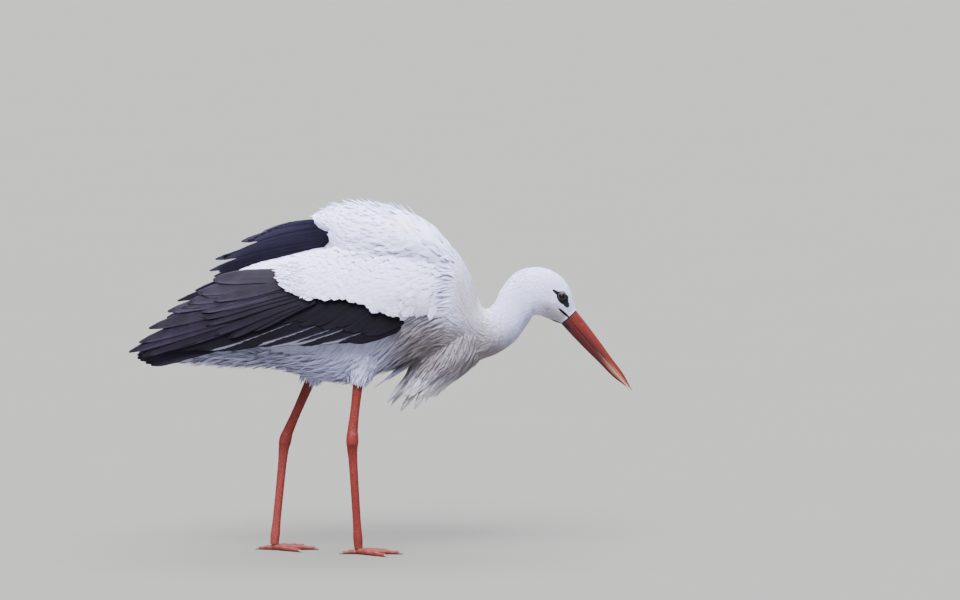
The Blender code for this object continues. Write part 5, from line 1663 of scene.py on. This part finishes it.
def make_stage():
    """Floor, soft light and camera."""
    stage = bpy.context.scene.stork_stage
    line = np.linspace(-FLOOR_REACH, FLOOR_REACH, 9)
    x, y = np.meshgrid(line, line, indexing="ij")
    top = np.stack([x, y, 0 * x - SHIFT[2]], axis=-1).reshape(-1, 3)
    quads = grid_faces(len(line), len(line))
    floor = mesh_piece("floor", np.vstack([top, top - (0, 0, 0.05)]),
                       np.vstack([quads, quads[:, ::-1] + len(top)]), np.zeros((0, 3)),
                       floor_finish())

    world = bpy.data.worlds.new("studio")
    bpy.context.scene.world = world
    world.use_nodes = True
    back = world.node_tree.nodes["Background"]
    back.inputs["Color"].default_value = (0.84, 0.90, 1.0, 1.0)
    back.inputs["Strength"].default_value = 0.42
    for name, place, spread, power, tint in LAMPS:
        lamp = bpy.data.lights.new(name, "SUN")
        lamp.angle, lamp.energy, lamp.color = math.radians(spread), power, tint
        light = bpy.data.objects.new(name, lamp)
        light.location = place
        light.rotation_euler = facing(LIT_POINT - Vector(place))
        bpy.context.scene.collection.objects.link(light)

    lens = bpy.data.cameras.new("view")
    lens.lens, lens.sensor_width, lens.clip_end = stage.lens, 36.0, 200.0
    camera = bpy.data.objects.new("view", lens)
    level = stage.distance * math.cos(stage.elevation)
    target = Vector(stage.target)
    camera.location = target + Vector((-level * math.sin(stage.azimuth),
                                       -level * math.cos(stage.azimuth),
                                       stage.distance * math.sin(stage.elevation)))
    camera.rotation_euler = facing(target - camera.location)
    bpy.context.scene.collection.objects.link(camera)
    bpy.context.scene.camera = camera


# ---------------------------------------------------------------- operators
class STORK_OT_skin(bpy.types.Operator):
    """The one skin under the plumage: trunk, neck, head, thighs and arms."""
    bl_idname = "stork.skin"
    bl_label = "Skin"

    def execute(self, context):
        make_skin()
        return {"FINISHED"}


class STORK_OT_eyes(bpy.types.Operator):
    """Both eyeballs and their lids."""
    bl_idname = "stork.eyes"
    bl_label = "Eyes"

    def execute(self, context):
        make_eyes()
        make_lids()
        return {"FINISHED"}


class STORK_OT_bill(bpy.types.Operator):
    """Both halves of the bill."""
    bl_idname = "stork.bill"
    bl_label = "Bill"

    def execute(self, context):
        make_bill()
        return {"FINISHED"}


class STORK_OT_trunk_coat(bpy.types.Operator):
    """Feathers of rump, breast, flanks and belly."""
    bl_idname = "stork.trunk_coat"
    bl_label = "Trunk feathers"

    def execute(self, context):
        make_trunk_coat()
        return {"FINISHED"}


class STORK_OT_mantle_coat(bpy.types.Operator):
    """Loose feathers of mantle and shoulders."""
    bl_idname = "stork.mantle_coat"
    bl_label = "Mantle feathers"

    def execute(self, context):
        make_mantle_coat()
        return {"FINISHED"}


class STORK_OT_neck_coat(bpy.types.Operator):
    """Narrow feathers of the neck."""
    bl_idname = "stork.neck_coat"
    bl_label = "Neck feathers"

    def execute(self, context):
        make_neck_coat()
        return {"FINISHED"}


class STORK_OT_head_coat(bpy.types.Operator):
    """Very small feathers of the head."""
    bl_idname = "stork.head_coat"
    bl_label = "Head feathers"

    def execute(self, context):
        make_head_coat()
        return {"FINISHED"}


class STORK_OT_ruff_coat(bpy.types.Operator):
    """Long hanging plumes of the breast."""
    bl_idname = "stork.ruff_coat"
    bl_label = "Ruff plumes"

    def execute(self, context):
        make_ruff_coat()
        return {"FINISHED"}


class STORK_OT_vent_coat(bpy.types.Operator):
    """Soft feathers under the tail."""
    bl_idname = "stork.vent_coat"
    bl_label = "Under-tail feathers"

    def execute(self, context):
        make_vent_coat()
        return {"FINISHED"}


class STORK_OT_thigh_coat(bpy.types.Operator):
    """Downy feathers of both thighs."""
    bl_idname = "stork.thigh_coat"
    bl_label = "Thigh feathers"

    def execute(self, context):
        make_thigh_coat()
        return {"FINISHED"}


class STORK_OT_right_wing(bpy.types.Operator):
    """White coverts and black flight feathers of the right wing."""
    bl_idname = "stork.right_wing"
    bl_label = "Right wing"

    def execute(self, context):
        make_covert_coat(RIGHT_WING, 7)
        make_wing(RIGHT_WING, 10)
        return {"FINISHED"}


class STORK_OT_left_wing(bpy.types.Operator):
    """White coverts and black flight feathers of the left wing."""
    bl_idname = "stork.left_wing"
    bl_label = "Left wing"

    def execute(self, context):
        make_covert_coat(LEFT_WING, 8)
        make_wing(LEFT_WING, 11)
        return {"FINISHED"}


class STORK_OT_tail(bpy.types.Operator):
    """The twelve tail feathers."""
    bl_idname = "stork.tail"
    bl_label = "Tail"

    def execute(self, context):
        make_tail()
        return {"FINISHED"}


class STORK_OT_legs(bpy.types.Operator):
    """Both bare legs, with toes."""
    bl_idname = "stork.legs"
    bl_label = "Legs"

    def execute(self, context):
        finish = leg_finish()
        for leg in LEGS:
            make_leg(leg, finish)
        return {"FINISHED"}


class STORK_OT_claws(bpy.types.Operator):
    """The claws of both feet."""
    bl_idname = "stork.claws"
    bl_label = "Claws"

    def execute(self, context):
        make_claws()
        return {"FINISHED"}


class STORK_OT_stage(bpy.types.Operator):
    """Floor, light and camera."""
    bl_idname = "stork.stage"
    bl_label = "Stage"

    def execute(self, context):
        make_stage()
        return {"FINISHED"}


OPERATORS = (
    STORK_OT_skin, STORK_OT_eyes, STORK_OT_bill, STORK_OT_trunk_coat, STORK_OT_mantle_coat,
    STORK_OT_neck_coat, STORK_OT_head_coat, STORK_OT_ruff_coat, STORK_OT_vent_coat,
    STORK_OT_thigh_coat, STORK_OT_right_wing, STORK_OT_left_wing, STORK_OT_tail, STORK_OT_legs,
    STORK_OT_claws, STORK_OT_stage)


class STORK_PT_panel(bpy.types.Panel):
    """Settings and makers of the stork."""
    bl_label = "Stork"
    bl_idname = "STORK_PT_panel"
    bl_space_type = "VIEW_3D"
    bl_region_type = "UI"
    bl_category = "Stork"

    def draw(self, context):
        for group in (context.scene.stork_sizes, context.scene.stork_colours,
                      context.scene.stork_stage):
            box = self.layout.box()
            for word in group.__annotations__:
                box.prop(group, word)
        for made in OPERATORS:
            self.layout.operator(made.bl_idname)


CLASSES = (StorkSizes, StorkColours, StorkStage, *OPERATORS, STORK_PT_panel)


def register():
    """Makes the settings, operators and panel known to Blender."""
    for made in CLASSES:
        bpy.utils.register_class(made)
    bpy.types.Scene.stork_sizes = PointerProperty(type=StorkSizes)
    bpy.types.Scene.stork_colours = PointerProperty(type=StorkColours)
    bpy.types.Scene.stork_stage = PointerProperty(type=StorkStage)


def unregister():
    """Takes them away again."""
    for word in ("stork_sizes", "stork_colours", "stork_stage"):
        delattr(bpy.types.Scene, word)
    for made in reversed(CLASSES):
        bpy.utils.unregister_class(made)


def main():
    """Builds every piece in order."""
    register()
    for made in OPERATORS:
        group, name = made.bl_idname.split(".")
        getattr(getattr(bpy.ops, group), name)()


if __name__ == "__main__":
    main()
